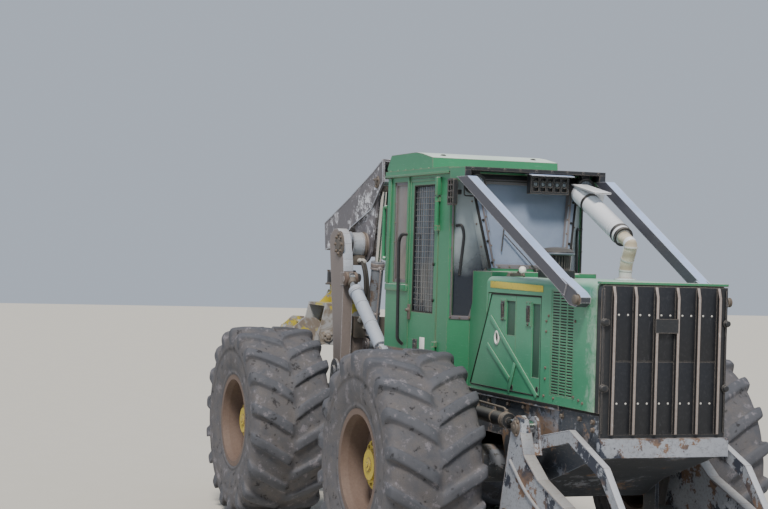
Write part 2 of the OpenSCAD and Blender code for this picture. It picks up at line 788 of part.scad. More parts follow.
module seat() {
    color("darkslategray") {
        box([-1440, -200, cab_floor + cab_t], [-1100, 200, 1850]);
        box([-1500, -250, 1850], [-960, 250, 1980]);
        box([-1600, -240, 1950], [-1470, 240, 2560]);
    }
}

module console() {
    color("black") {
        box([-700, -250, cab_floor + cab_t], [-470, 250, 2330]);
        along([-700, 2250], [-830, 2400], 0) rotate([0, 90, 0]) cylinder(r = 22, h = 160);
        translate([-805, 0, 2370]) rotate([0, -49, 0]) rotate_extrude() translate([190, 0]) circle(14, $fn = 24);
        translate([-805, 0, 2370]) rotate([0, -49, 0]) translate([0, 0, -8]) linear_extrude(16)
            for (a = [0 : 120 : 240]) rotate(a) translate([0, -15]) square([192, 30]);
    }
}

// Door drawn on the left side, window cut, hinges on its front edge.
module door() {
    x0 = -door_front - door_l;
    color("seagreen") difference() {
        union() {
            box([x0, cab_y - cab_t, 1505], [-door_front, cab_y, header_z - 28]);
            for (z = door_knuckle_z) {
                translate([-door_front - 2, cab_y + 20, z]) cylinder(r = 20, h = 200);
                box([-door_front - 70, cab_y - 10, z], [-door_front - 2, cab_y + 12, z + 200]);
            }
        }
        box([x0 + 85, cab_y - cab_t - 1, 2030], [-door_front - 90, cab_y + 1, header_z - 80]);
    }
    color("lightsteelblue") box([x0 + 84, cab_y - 25, 2029], [-door_front - 89, cab_y - 25 + glass_t, header_z - 79]);
}

// Blade

// Back and face of the blade's section, from the cutting edge up.
function blade_back(d) = [for (q = [[50, 0], [140, 0.18], [195, 0.45], [175, 0.76], [110, 1]])
    [blade_front - q[0] - d, blade_clear + q[1] * blade_h]];
function blade_face() = [for (q = [[70, 1], [135, 0.75], [150, 0.45], [100, 0.2], [0, 0]])
    [blade_front - q[0], blade_clear + q[1] * blade_h]];

module blade_arms() {
    color("silver") both() {
        plate(arm_y, arm_y + arm_t) difference() {
            polygon([
                [1020, 1280], [1040, 1340], [1105, 1375], [1170, 1345], [1200, 1270], [1260, 1100], [1500, 950],
                [1920, 815], [2420, 640], [2420, 300], [1600, 380], [1080, 480], [950, 490], [860, 540],
                [850, 640], [905, 850], [985, 1150]
            ]);
            circle_at(blade_pin, 45);
            polygon(concat(blade_back(eps), [[blade_front, 900], [blade_front, 0]]));
        }
        // Inner cheek of the lever, its web and the brace bar
        plate(570, 590) {
            circle_at(lever_pin, 80);
            polygon([[1025, 1290], [1185, 1290], [1230, 1100], [1010, 1050]]);
        }
        plate(570, arm_y) polygon([[1010, 1050], [1230, 1100], [1200, 1180], [1015, 1160]]);
        bar_y(lever_pin, 34, 558, 570);
        bar_y(lever_pin, 34, arm_y + arm_t, arm_y + arm_t + 14);
        plate(525, 570) polygon([
            [1160, 1130], [1640, 1235], [2130, 1040], [2380, 800], [2410, 790], [2440, 850], [2180, 1120],
            [1650, 1320], [1160, 1230]
        ]);
    }
}

module blade() {
    color("dimgray") plate(-blade_w / 2, blade_w / 2) polygon(concat(blade_back(0), blade_face()));
}

module blade_barrels() {
    color("black") both() along(blade_base, lever_pin, blade_cyl_y) barrel(blade_cyl);
}

module blade_rods() {
    color("white") both() along(lever_pin, 2 * lever_pin - blade_base, blade_cyl_y) rod(blade_cyl);
}

// Rear frame

module rear_frame() {
    y1 = rear_frame_y;
    y0 = y1 - frame_t;
    rear = rear_x - 500;
    color("darkslategray") {
        both() plate(y0, y1) polygon([
            [rear_front, 1300], [rear_x + 500, 1300], [rear, 1200], [rear, 700], [rear_x - 400, 700],
            [rear_x - 260, 1150], [rear_x + 260, 1150], [rear_x + 400, 700], [rear_front, 700]
        ]);
        plate(-y0, y0) {
            translate([rear_plate - 30, 700]) square([30, 600]);
            translate([rear, 700]) square([30, 500]);
            translate([rear_x - 260, 1150]) square([520, 30]);
            translate([rear_x + 400, 700]) square([rear_plate - rear_x - 400, 20]);
            translate([rear_x + 500, 1275]) square([rear_plate - rear_x - 500, 25]);
        }
        // Hitch plate behind the frame
        difference() {
            translate([0, 0, 700]) linear_extrude(hitch_t) {
                translate([rear - 90, -90]) square([100, 180]);
                translate([rear - 90, 0]) circle(90);
            }
            translate([rear - 90, 0, 600]) cylinder(r = hitch_d / 2, h = 300);
        }
        // Hinge plates of the articulation
        difference() {
            for (z = [frame_low + 55, 1235])
                translate([0, 0, z]) linear_extrude(50) {
                    translate([rear_plate - 10, -135]) square([art_x - rear_plate + 10, 270]);
                    translate([art_x, 0]) circle(140);
                }
            translate([art_x, 0, 600]) cylinder(r = 45, h = 900);
        }
        // Arch pivots with their pins, and the towers of the arch cylinders
        both() {
            tower(arch_pin, 330, 110, arch_w / 2 - 50, 110);
            bar_y(arch_pin, 45 - fit, arch_w / 2 - 110, arch_w / 2 + 45);
            box([arch_base[0] - 110, rear_frame_y, 1080], [arch_base[0] + 110, arch_cyl_y + 65, arch_base[1] - 95]);
            base_cheeks(arch_base, arch_cyl_y, arch_cyl, 60, 22)
                polygon([
                    [arch_base[0] - 60, arch_base[1]], [arch_base[0] + 60, arch_base[1]],
                    [arch_base[0] + 100, arch_base[1] - 100], [arch_base[0] - 100, arch_base[1] - 100]
                ]);
            steer_ears(steer_rear, rear_plate - 20);
        }
    }
}

// Two ears beside a leg of the arch, on a block against the frame side.
module tower(p, length, r, y, w) {
    top = p[1] - r - 30;
    box([p[0] - length / 2, rear_frame_y, 1080], [p[0] + length / 2, y + w / 2 + 25, top]);
    for (y0 = [y - w / 2 - 20, y + w / 2])
        plate(y0, y0 + 20) {
            circle_at(p, r);
            polygon([[p[0] - r, p[1]], [p[0] + r, p[1]], [p[0] + length / 2, 1100], [p[0] - length / 2, 1100]]);
        }
}

// Steering cylinders lie flat between the frames.
module steer_barrel() {
    translate([steer_front, steer_y, steer_z]) rotate([0, 0, 180]) rotate([90, 0, 0]) barrel(steer_cyl);
}

module steer_rod() {
    translate([steer_rear, steer_y, steer_z]) rotate([0, 0, 180]) rotate([90, 0, 0]) rod(steer_cyl);
}

// Arch, boom and their cylinders

module arch() {
    y1 = arch_w / 2;
    y0 = y1 - 100;
    x = arch_pin[0];
    color("dimgray") {
        both() plate(y0, y1) difference() {
            union() {
                polygon([
                    [x + 100, 1380], [x + 130, 2290], [x + 105, 2450], [x + 60, 2600], [x, 2700], [x - 90, 2745],
                    [x - 190, 2740], [x - 290, 2680], [x - 305, 2600], [x - 130, 1700], [x - 100, 1380]
                ]);
                circle_at(arch_pin, 100);
            }
            circle_at(arch_pin, 45);
        }
        // Cross tube of the boom pivot and the lower cross beam
        bar_y(boom_pin, 115, -y0, y0);
        plate(-y0, y0) translate([x - 70, 1520]) square([100, 190]);
        // Cheeks of the arch cylinders' rods and of the boom cylinders' base
        both() {
            cheeks(arch_eye, arch_cyl_y, arch_cyl, 60, 20)
                translate([x + 90, arch_eye[1] - 60]) square([arch_eye[0] - x - 90, 120]);
            plate(arch_cyl_y - 58, arch_cyl_y + 58) translate([x + 60, arch_eye[1] - 60]) square([40, 120]);
            base_cheeks(boom_base, boom_cyl_y, boom_cyl, 58, 20)
                translate([x + 20, boom_base[1] - 58]) square([boom_base[0] - x - 20, 116]);
        }
    }
}

module arch_barrels() {
    color("silver") both() along(arch_base, arch_eye, arch_cyl_y) barrel(arch_cyl);
}

module arch_rods() {
    color("white") both() along(arch_eye, 2 * arch_eye - arch_base, arch_cyl_y) rod(arch_cyl);
}

// Upper and lower edges of the boom's side plates, as [x, z] from the boom's pivot
boom_top = [[240 - tip_reach, 220], [-380, 490], [260, 720], [480, 815]];
boom_low = [[500, 600], [200, 340], [-370, 170], [-570, 70], [-780, -10], [280 - tip_reach, -60]];

module boom() {
    y1 = boom_w / 2;
    y0 = y1 - 20;
    color("dimgray") difference() {
        union() {
            translate([boom_pin[0], 0, boom_pin[1]]) {
                both() plate(y0, y1) polygon(concat(boom_top, boom_low));
                plate(-y0, y0) {
                    polygon(concat(boom_top, [for (i = [3 : -1 : 0]) boom_top[i] - [0, 24]]));
                    polygon([for (i = [1 : 5]) boom_low[i], for (i = [5 : -1 : 1]) boom_low[i] + [0, 24]]);
                    polygon([boom_top[0], boom_top[0] + [24, 0], boom_low[5] + [24, 0], boom_low[5]]);
                }
            }
            // Pivot ears around the arch's cross tube
            both() plate(y0 - 20, y0) translate([boom_pin[0], boom_pin[1]]) {
                circle_at([0, 0], 170);
                polygon([[-170, 0], [165, -40], [330, 480], [100, 600], [-350, 400], [-350, 205]]);
            }
            // Nose cheeks of the boom cylinders
            both() cheeks(boom_eye, boom_cyl_y, boom_cyl, 68, 22)
                polygon([
                    [boom_eye[0] - 66, boom_eye[1]], [boom_eye[0] + 66, boom_eye[1]],
                    [boom_eye[0] + 60, boom_eye[1] + 165], [boom_eye[0] - 110, boom_eye[1] + 110]
                ]);
            // Tip lug that carries the crosshead
            plate(-45, 45) difference() {
                union() {
                    circle_at(tip_pin, 75);
                    polygon([
                        [tip_pin[0] - 30, tip_pin[1] + 68], [tip_pin[0] + 300, boom_pin[1] + 200],
                        [tip_pin[0] + 345, boom_pin[1] - 40], [tip_pin[0], tip_pin[1] - 75]
                    ]);
                }
                circle_at(tip_pin, 36);
            }
        }
        bar_y(boom_pin, 115 + fit, -boom_w, boom_w);
    }
}

module boom_barrels() {
    color("gray") both() along(boom_base, boom_eye, boom_cyl_y) barrel(boom_cyl);
}

module boom_rods() {
    color("white") both() along(boom_eye, 2 * boom_eye - boom_base, boom_cyl_y) rod(boom_cyl);
}

// Grapple

roll_z = 2395;
module crosshead() {
    color("black") {
        for (y = [-75, 50])
            plate(y, y + 25) link_2d(tip_pin, [tip_pin[0], roll_z + 118], 58);
        bar_y(tip_pin, 36 - fit, -75, 75);
        box([tip_pin[0] - 60, -75, roll_z + 60], [tip_pin[0] + 60, 75, roll_z + 95]);
        translate([tip_pin[0] - 40, 0, roll_z]) rotate([0, 90, 0]) cylinder(r = 60, h = 80);
        box([tip_pin[0] - 40, -60, roll_z], [tip_pin[0] + 40, 60, roll_z + 65]);
        translate([tip_pin[0] - 90, 0, roll_z]) rotate([0, 90, 0]) cylinder(r = 30, h = 180);
    }
}

module rotator() {
    x = tip_pin[0];
    color("black") {
        difference() {
            for (s = [-1, 1])
                translate([x + s * 65 - 12, 0, 0]) rotate([90, 0, 90]) linear_extrude(24)
                    link_2d([0, roll_z], [0, roll_z - 110], 60);
            translate([x - 200, 0, roll_z]) rotate([0, 90, 0]) cylinder(r = 30 + fit, h = 400);
        }
        translate([x, 0, 2180]) cylinder(r = 150, h = 130);
    }
}

head_z = 1985;
// Pin and cylinder eye of the left tong, as [y, z]
tong_pin = [230, 1640];
tong_eye = [400, 1772];

module grapple_head() {
    x = tip_pin[0];
    color("goldenrod") {
        translate([x, 0, head_z - 10]) cylinder(r = 120, h = 2180 - eps - head_z + 10);
        for (s = [-1, 1])
            translate([x + s * (head_l / 2 - plate_t / 2) - plate_t / 2, 0, 0])
                rotate([90, 0, 90]) linear_extrude(plate_t) polygon([
                    [-260, head_z], [260, head_z], [330, 1660], [300, 1560], [170, 1550], [100, 1700],
                    [-100, 1700], [-170, 1550], [-300, 1560], [-330, 1660]
                ]);
        box([x - head_l / 2, -260, head_z - 30], [x + head_l / 2, 260, head_z]);
        both() translate([x - head_l / 2, tong_pin[0], tong_pin[1]])
            rotate([0, 90, 0]) cylinder(r = 40 - fit, h = head_l);
    }
}

// Left tong; it turns about a bar along X, and its tip meets the other's below.
tong_outer = [
    [tong_pin[0] - 50, tong_pin[1] + 60], [340, 1830], [460, 1835], [570, 1740], [700, 1500], [770, 1200],
    [750, 900], [640, 650], [430, 430], [200, 300], [3, 250]
];
tong_inner = [
    [3, 290], [200, 370], [380, 520], [520, 700], [600, 900], [600, 1180], [520, 1400], [330, 1540], [200, 1560]
];
module tong(through) {
    x = tip_pin[0];
    bar = through ? tong_l / 2 : tong_l / 2 - tong_cyl[3] / 2 - pin_gap;
    color("olive") difference() {
        union() {
            for (s = [-1, 1])
                translate([x + s * (tong_l / 2 - plate_t / 2) - plate_t / 2, 0, 0])
                    rotate([90, 0, 90]) linear_extrude(plate_t) polygon(concat(tong_outer, tong_inner));
            translate([x - tong_l / 2, 0, 0]) rotate([90, 0, 90]) linear_extrude(tong_l)
                polygon([
                    [570, 1740], [700, 1500], [770, 1200], [750, 900], [640, 650], [430, 430], [200, 300], [3, 250],
                    [3, 275], [190, 324], [415, 452], [620, 665], [727, 905], [745, 1200], [678, 1490], [550, 1722]
                ]);
            translate([x - tong_l / 2, tong_pin[0], tong_pin[1]]) rotate([0, 90, 0]) cylinder(r = 70, h = tong_l);
            // Pin of the cylinder's eye
            for (x0 = [x - tong_l / 2, x + tong_l / 2 - bar])
                translate([x0, tong_eye[0], tong_eye[1]])
                    rotate([0, 90, 0]) cylinder(r = tong_cyl[2] / 2 - fit, h = bar);
        }
        translate([x - head_l / 2, tong_pin[0], tong_pin[1]]) rotate([0, 90, 0]) cylinder(r = 40, h = head_l);
    }
}

// The cylinder's eyes turn on bars along X, between the tongs' plates.
module tong_barrel() {
    color("silver") translate([tip_pin[0], tong_eye[0], tong_eye[1]])
        rotate([0, 0, -90]) barrel(tong_cyl);
}

module tong_rod() {
    color("white") translate([tip_pin[0], -tong_eye[0], tong_eye[1]])
        rotate([0, 0, -90]) rod(tong_cyl);
}

place() front_frame();
place() front_bumper();
place() axle(0);  // front_axle
place() engine_block();
place() hood();
place() hood_side_panels();
place() grille();
place() limb_risers();
place() exhaust();
place() air_intake();
place() side_steps();
place() cab_body();
place() cab_roof();
place() cab_glass();
place() rear_guard();
place() work_lamps();
place() seat();
place() console();
place() mirror([0, 1, 0]) door();  // door_right
place() door();  // door_left
place() tyre_at(0, -1) tyre();  // tyre_front_right
place() tyre_at(0, 1) tyre();  // tyre_front_left
place() tyre_at(rear_x, -1) tyre();  // tyre_rear_right
place() tyre_at(rear_x, 1) tyre();  // tyre_rear_left
place() wheel_at(0, -1) rim();  // rim_front_right
place() wheel_at(0, 1) rim();  // rim_front_left
place() wheel_at(rear_x, -1) rim();  // rim_rear_right
place() wheel_at(rear_x, 1) rim();  // rim_rear_left
place() blade_arms();
place() blade();
place() blade_barrels();
place() blade_rods();
place() rear_frame();
place() axle(rear_x);  // rear_axle
place() mirror([0, 1, 0]) steer_barrel();  // steer_barrel_right
place() steer_barrel();  // steer_barrel_left
place() mirror([0, 1, 0]) steer_rod();  // steer_rod_right
place() steer_rod();  // steer_rod_left
place() arch();
place() arch_barrels();
place() arch_rods();
place() boom();
place() boom_barrels();
place() boom_rods();
place() crosshead();
place() rotator();
place() grapple_head();
place() mirror([0, 1, 0]) tong(false);  // tong_right
place() tong(true);  // tong_left
place() tong_barrel();
place() tong_rod();
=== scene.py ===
# Articulated grapple skidder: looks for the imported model, in metres, +X forward, +Y left, +Z up.
import bpy
import json
import math
from mathutils import Matrix, Vector, noise


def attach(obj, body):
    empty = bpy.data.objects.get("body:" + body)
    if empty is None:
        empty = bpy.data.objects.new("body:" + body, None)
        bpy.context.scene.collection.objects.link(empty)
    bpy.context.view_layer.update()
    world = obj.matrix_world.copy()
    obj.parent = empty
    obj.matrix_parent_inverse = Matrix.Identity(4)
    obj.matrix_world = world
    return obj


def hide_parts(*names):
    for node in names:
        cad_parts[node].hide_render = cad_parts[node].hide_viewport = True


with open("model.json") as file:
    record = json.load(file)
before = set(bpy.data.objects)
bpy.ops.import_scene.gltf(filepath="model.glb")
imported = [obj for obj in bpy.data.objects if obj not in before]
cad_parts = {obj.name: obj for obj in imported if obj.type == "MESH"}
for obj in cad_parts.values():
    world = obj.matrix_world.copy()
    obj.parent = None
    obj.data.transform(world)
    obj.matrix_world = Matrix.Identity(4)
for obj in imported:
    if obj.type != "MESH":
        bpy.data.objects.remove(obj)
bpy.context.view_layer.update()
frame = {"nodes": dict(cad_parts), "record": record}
nodes = frame["nodes"]
print("frame: %d nodes" % len(nodes))

# Camera, where the photographer stood: ahead and to the right, 2.5 m above the machine's ground
cameraView = {
    "place": (14.157, -6.153, 2.524),
    "turn": 20.4624,
    "tilt": 0.0581,
    "roll": 1.6421,
    "lens": 83.46,
}
turn, tilt, roll = (math.radians(cameraView[key]) for key in ("turn", "tilt", "roll"))
back = Vector((math.cos(turn) * math.cos(tilt), -math.sin(turn) * math.cos(tilt), math.sin(tilt)))
levelRight = Vector((0, 0, 1)).cross(back).normalized()
levelUp = back.cross(levelRight)
right = math.cos(roll) * levelRight + math.sin(roll) * levelUp
up = math.cos(roll) * levelUp - math.sin(roll) * levelRight
cameraData = bpy.data.cameras.new("camera")
cameraData.lens = cameraView["lens"]
cameraData.sensor_width = 36
camera = bpy.data.objects.new("camera", cameraData)
bpy.context.scene.collection.objects.link(camera)
camera.matrix_world = Matrix.Translation(cameraView["place"]) @ Matrix((right, up, back)).transposed().to_4x4()
bpy.context.scene.camera = camera


# Colours are written as sRGB hex and handed to the nodes as linear values
def linear(hexColour):
    channels = [int(hexColour[i:i + 2], 16) / 255 for i in (1, 3, 5)]
    return [c / 12.92 if c <= 0.04045 else ((c + 0.055) / 1.055) ** 2.4 for c in channels] + [1.0]


# Adds a node, sets its properties or sockets, and links its sockets from other nodes' outputs
def addNode(tree, kind, settings=None, links=None):
    node = tree.nodes.new(kind)
    for name, value in (settings or {}).items():
        if isinstance(name, str) and hasattr(node, name):
            setattr(node, name, value)
        else:
            node.inputs[name].default_value = value
    for socket, source in (links or {}).items():
        tree.links.new(source, node.inputs[socket])
    return node


def startMaterial(name):
    material = bpy.data.materials.new(name)
    material.use_nodes = True
    tree = material.node_tree
    tree.nodes.clear()
    return material, tree, addNode(tree, "ShaderNodeTexCoord").outputs["Object"]


# Studio: pale floor, a broad soft key from the machine's right front, and an even sky
studio = {
    "floor": "#c9c6be",
    "sky": "#d9e4f4",
    "skyStrength": 0.66,
    "sunTurn": (38, 0, 62),
    "sunStrength": 4.0,
    "sunWidth": 14,
}
bpy.ops.object.select_all(action="DESELECT")
bpy.ops.mesh.primitive_plane_add(size=120, location=(0, 0, -0.0005))
floor = bpy.context.object
floor.name = "floor"
# Matt backdrop paper: almost no gloss
floorPaper, tree, place = startMaterial("matt_backdrop_paper")
grain = addNode(tree, "ShaderNodeTexNoise", {"Scale": 3.0, "Detail": 4.0}, {"Vector": place})
tone = addNode(tree, "ShaderNodeMix", {"data_type": "RGBA", 6: linear("#c4c1b8"), 7: linear(studio["floor"])},
               {0: grain.outputs["Fac"]})
surface = addNode(tree, "ShaderNodeBsdfPrincipled", {"Roughness": 0.95, "Specular IOR Level": 0.1},
                  {"Base Color": tone.outputs[2]})
addNode(tree, "ShaderNodeOutputMaterial", None, {"Surface": surface.outputs[0]})
floor.data.materials.append(floorPaper)

world = bpy.data.worlds.new("studio")
bpy.context.scene.world = world
world.use_nodes = True
world.node_tree.nodes["Background"].inputs["Color"].default_value = linear(studio["sky"])
world.node_tree.nodes["Background"].inputs["Strength"].default_value = studio["skyStrength"]
sunData = bpy.data.lights.new("softKey", "SUN")
sunData.energy = studio["sunStrength"]
sunData.angle = math.radians(studio["sunWidth"])
sunData.color = linear("#fff6ea")[:3]
sun = bpy.data.objects.new("softKey", sunData)
bpy.context.scene.collection.objects.link(sun)
sun.rotation_euler = [math.radians(a) for a in studio["sunTurn"]]
print("camera and studio ready")


# Short forms of the nodes that most materials share. A tone is a hex colour or another node's output.
def noiseOn(tree, vector, scale, detail, roughness=0.5, distortion=0.0):
    settings = {"Scale": scale, "Detail": detail, "Roughness": roughness, "Distortion": distortion}
    return addNode(tree, "ShaderNodeTexNoise", settings, {"Vector": vector}).outputs["Fac"]


def wavesOn(tree, vector, bands, scale, distortion):
    settings = {"bands_direction": bands, "Scale": scale, "Distortion": distortion}
    return addNode(tree, "ShaderNodeTexWave", settings, {"Vector": vector}).outputs["Fac"]


def mixTones(tree, share, low, high):
    settings, links = {"data_type": "RGBA"}, {0: share}
    for socket, tone in ((6, low), (7, high)):
        if isinstance(tone, str):
            settings[socket] = linear(tone)
        else:
            links[socket] = tone
    return addNode(tree, "ShaderNodeMix", settings, links).outputs[2]


# A value spread from one range to another
def spread(tree, value, fromMin, fromMax, toMin=0.0, toMax=1.0):
    settings = {"From Min": fromMin, "From Max": fromMax, "To Min": toMin, "To Max": toMax}
    return addNode(tree, "ShaderNodeMapRange", settings, {"Value": value}).outputs[0]


# Arithmetic on numbers, kept on their sockets, and on other nodes' outputs
def arithmetic(tree, operation, *terms, clamp=False):
    settings, links = {"operation": operation, "use_clamp": clamp}, {}
    for socket, term in enumerate(terms):
        target = settings if isinstance(term, (int, float)) else links
        target[socket] = term
    return addNode(tree, "ShaderNodeMath", settings, links).outputs[0]


def vectorStep(tree, operation, settings, links):
    return addNode(tree, "ShaderNodeVectorMath", {"operation": operation, **settings}, links).outputs


def axisParts(tree, vector):
    return addNode(tree, "ShaderNodeSeparateXYZ", None, {0: vector}).outputs


def bumpOf(tree, height, strength, distance):
    return addNode(tree, "ShaderNodeBump", {"Strength": strength, "Distance": distance}, {"Height": height}).outputs[0]


def finishSurface(tree, settings, links):
    surface = addNode(tree, "ShaderNodeBsdfPrincipled", settings, links)
    addNode(tree, "ShaderNodeOutputMaterial", None, {"Surface": surface.outputs[0]})


# What painted parts mostly share; each coat below names only what differs from it
usualCoat = {
    "mottle": 0.3, "dust": 0.5, "scratch": 0.4, "stretch": (1.2, 1.0, 14.0), "edge": 0.01,
    "edgeWear": 0.2, "patches": 0.04, "patchScale": 4.5, "gloss": 0.5, "bump": 0.2, "coatWeight": 0.0,
}
# Rust takes over a wheel's dish between these distances from its axle, in metres
hubRust = (0.22, 0.32)
axleHeight = 0.895


# Weathered paint on steel. Tones: coat, faded coat, dirt, settled dust and painted top light, scratches, bare steel,
# rust.
def paintedSteel(name, slotName, tones, **differs):
    look = {**usualCoat, **differs}
    coat, faded, dirt, dustTone, scratchTone, bareTone, rustTone = tones.split()
    material, tree, place = startMaterial(name)
    # Slow fading over the sheet, 0.6 m across
    fade = noiseOn(tree, place, 1.7, 5.0, 0.6)
    painted = mixTones(tree, fade, coat, faded)
    # Fine mottle of dried mud and sap, 20 mm across
    mottle = noiseOn(tree, place, 50.0, 6.0, 0.7)
    painted = mixTones(tree, spread(tree, mottle, 0.5, 0.8, 0.0, look["mottle"]), painted, dirt)
    # What faces up takes the dust tone: settled dust, and where that tone is near white or blue, painted sunlight and
    # sky light
    normal = addNode(tree, "ShaderNodeNewGeometry").outputs["Normal"]
    upward = spread(tree, axisParts(tree, normal)["Z"], 0.3, 0.95, 0.0, look["dust"])
    dustShare = arithmetic(tree, "MULTIPLY", upward, spread(tree, fade, 0.2, 0.6, 0.6))
    painted = mixTones(tree, dustShare, painted, dustTone)
    # Long thin scratches from branches, drawn out along the machine
    drawn = addNode(tree, "ShaderNodeMapping", {"Scale": look["stretch"], "Rotation": (0, 0.12, 0)}, {"Vector": place})
    scratch = noiseOn(tree, drawn.outputs[0], 9.0, 8.0, 0.75, 0.4)
    painted = mixTones(tree, spread(tree, scratch, 0.6, 0.66, 0.0, look["scratch"]), painted, scratchTone)
    # Paint rubbed pale by brush towards the machine's nose, over the stretch of X that nose gives
    if "nose" in look:
        noseShare = spread(tree, axisParts(tree, place)["X"], *look["nose"], -0.3, 0.3)
        rub = arithmetic(tree, "ADD", noseShare, noiseOn(tree, place, 11.0, 9.0, 0.74, 1.2))
        painted = mixTones(tree, spread(tree, rub, 0.62, 0.9, 0.0, 0.7), painted, look["rubTone"])
    # Worn edges: where a rounded normal leaves the true one
    roundedEdge = addNode(tree, "ShaderNodeBevel", {"samples": 4, "Radius": look["edge"]}).outputs[0]
    lean = vectorStep(tree, "DOT_PRODUCT", {}, {0: roundedEdge, 1: normal})["Value"]
    chip = noiseOn(tree, place, 38.0, 7.0, 0.72)
    worn = arithmetic(tree, "ADD", spread(tree, lean, 0.995, 0.88, -0.22, look["edgeWear"]), chip)
    patch = noiseOn(tree, place, look["patchScale"], 9.0, 0.68)
    bareSum = arithmetic(tree, "ADD", worn, spread(tree, patch, 0.44, 0.62, 0.0, look["patches"]))
    # A wheel's rust grows outward from its axle, whose place along X hub gives
    if "hub" in look:
        fromHub = vectorStep(tree, "SUBTRACT", {1: (look["hub"], 0, axleHeight)}, {0: place})[0]
        inDish = vectorStep(tree, "MULTIPLY", {1: (1, 0, 1)}, {0: fromHub})[0]
        reach = vectorStep(tree, "LENGTH", {}, {0: inDish})["Value"]
        bareSum = arithmetic(tree, "ADD", bareSum, spread(tree, reach, *hubRust, 0.02, 0.6))
    bare = spread(tree, bareSum, 0.56, 0.63)
    # Broad stains where stains gives their scale, else rust is a fine speckle
    toneBy = mottle
    if "stains" in look:
        toneBy = spread(tree, noiseOn(tree, place, look["stains"], 6.0, 0.6, 0.8), 0.46, 0.56)
    painted = mixTones(tree, bare, painted, mixTones(tree, toneBy, bareTone, rustTone))
    roughness = spread(tree, bare, 0.0, 1.0, look["gloss"], 0.72)
    sunk = arithmetic(tree, "MULTIPLY_ADD", bare, -0.8, mottle)
    finishSurface(tree, {"IOR": 1.5, "Coat Weight": look["coatWeight"], "Coat Roughness": 0.25},
                  {"Base Color": painted, "Roughness": roughness, "Normal": bumpOf(tree, sunk, look["bump"], 0.0015)})
    return material


# Alkyd enamel, sprayed: a soft gloss gone chalky, chipped to primer and rust at its edges; near white where it faces
# up, with dust and painted sunlight
greenEnamel = paintedSteel("green_alkyd_enamel", "green_paint",
    "#23704c #3d8a63 #55786a #e4f4ea #86b59d #8f948a #6d5238",
    mottle=0.25, dust=0.96, scratch=0.35, edge=0.012, patches=0.06, gloss=0.42, bump=0.25, coatWeight=0.15)
# The same enamel on the hood, rubbed pale and chalky at its nose by branches; pale on top with dust and painted
# sunlight
hoodEnamel = paintedSteel("rubbed_green_enamel", "green_paint",
    "#31805c #569f7e #5f7a6d #b9d8c8 #93bfa9 #9a9a90 #6d5238",
    dust=0.8, scratch=0.45, edge=0.005, patches=0.06, gloss=0.42, bump=0.25, coatWeight=0.12, nose=(2.8, 3.2),
    rubTone="#b4c9bb")
# Paler green on the bars welded over the hood's panels: a lit copy of the green enamel, painted light on the raised
# ribs
litRibEnamel = paintedSteel("lit_rib_green_enamel", "green_paint",
    "#448f6c #62a684 #5f7a6d #b9d8c8 #9fc9b4 #9a9a90 #6d5238",
    dust=0.6, edge=0.002, patches=0.05, gloss=0.42)
# Dark grey chassis paint, rubbed by brush until the primer and the steel show
chassisPaint = paintedSteel("grey_chassis_paint", "dark_grey_paint",
    "#2f343c #565c65 #6c6965 #8f8a80 #b0b3b8 #8d929c #86705f",
    mottle=0.7, dust=0.8, scratch=0.7, edge=0.014, patches=0.5, patchScale=3.4, bump=0.35, stains=3.0)
# Slate grey paint on the limb risers, dark on its sides and pale blue on top: painted sky light over dust
scuffedGrey = paintedSteel("slate_grey_enamel", "dark_grey_paint",
    "#3f4049 #4e4f5a #5d5852 #b4caf2 #8a8b93 #d8d8de #9a9aa0",
    dust=0.98, edgeWear=0.3, gloss=0.42)
# Grey-brown boom paint, scraped to bright steel in patches by logs
boomPaint = paintedSteel("scraped_boom_paint", "dark_grey_paint",
    "#575459 #6b696f #6b6158 #8f8b88 #b9bac2 #cdd0d9 #77747a",
    mottle=0.4, dust=0.7, scratch=0.55, stretch=(7, 3, 1.6), edge=0.014, edgeWear=0.26, patches=0.5, patchScale=4.2,
    gloss=0.45, bump=0.3, stains=5.0)
# Brown film of rust and old grease on the arch's legs
archPaint = paintedSteel("grease_browned_steel", "cast_iron",
    "#6d6461 #857c79 #5c5048 #9b8f84 #a39a93 #b9bcc4 #857a74",
    mottle=0.5, dust=0.6, scratch=0.3, edge=0.016, edgeWear=0.3, patches=0.06, bump=0.35)
# Primer-grey plate, worn white and stained by rust and oil
scrapedPlate = paintedSteel("scraped_primer_plate", "worn_steel",
    "#868b95 #a9afba #5c5b58 #a9aaac #3d4148 #343a48 #7a6455",
    mottle=0.95, scratch=0.9, edge=0.012, edgeWear=0.0, patches=0.6, patchScale=4.6, bump=0.4, stains=2.4)
# Satin black enamel with dry dust in its texture; also the black plates under the canopy that are painted shade
blackEnamel = paintedSteel("satin_black_enamel", "black_paint",
    "#1c1e22 #2b2e33 #4d4a45 #6d6a66 #66666a #8a8884 #5f5048",
    mottle=0.35, dust=0.8, scratch=0.3, edge=0.009, gloss=0.45, bump=0.25)
# Brown-grey anodised frame bars, dusty round their bolts
bareFrame = paintedSteel("brown_grey_frame_bar", "dark_grey_paint",
    "#57555a #74727a #4d443f #9b918a #958c88 #a29a96 #6b4f3c",
    mottle=0.4, scratch=0.3, edge=0.008, patches=0.05, bump=0.25)
# Yellow enamel that has rusted through on the wheels and the grapple
yellowEnamel = paintedSteel("rusty_yellow_enamel", "yellow_paint",
    "#b8892b #cfa444 #6f4f36 #a08a6c #6f4a30 #86603f #5f3d28",
    mottle=0.7, dust=0.6, scratch=0.5, edge=0.016, patches=0.26, gloss=0.55, bump=0.4)
# Wheel dishes: yellow left round the hub, brown rust over the rest
wheelTones = "#b59f2c #c9b64a #7a6248 #9d8a78 #7a5c44 #78685f #564640"
wheelCoat = dict(mottle=0.6, dust=0.3, edge=0.012, patches=0.2, gloss=0.6, bump=0.4)
frontWheelRust = paintedSteel("rusted_front_wheel", "yellow_paint", wheelTones, hub=1.34, **wheelCoat)
rearWheelRust = paintedSteel("rusted_rear_wheel", "yellow_paint", wheelTones, hub=-2.16, **wheelCoat)
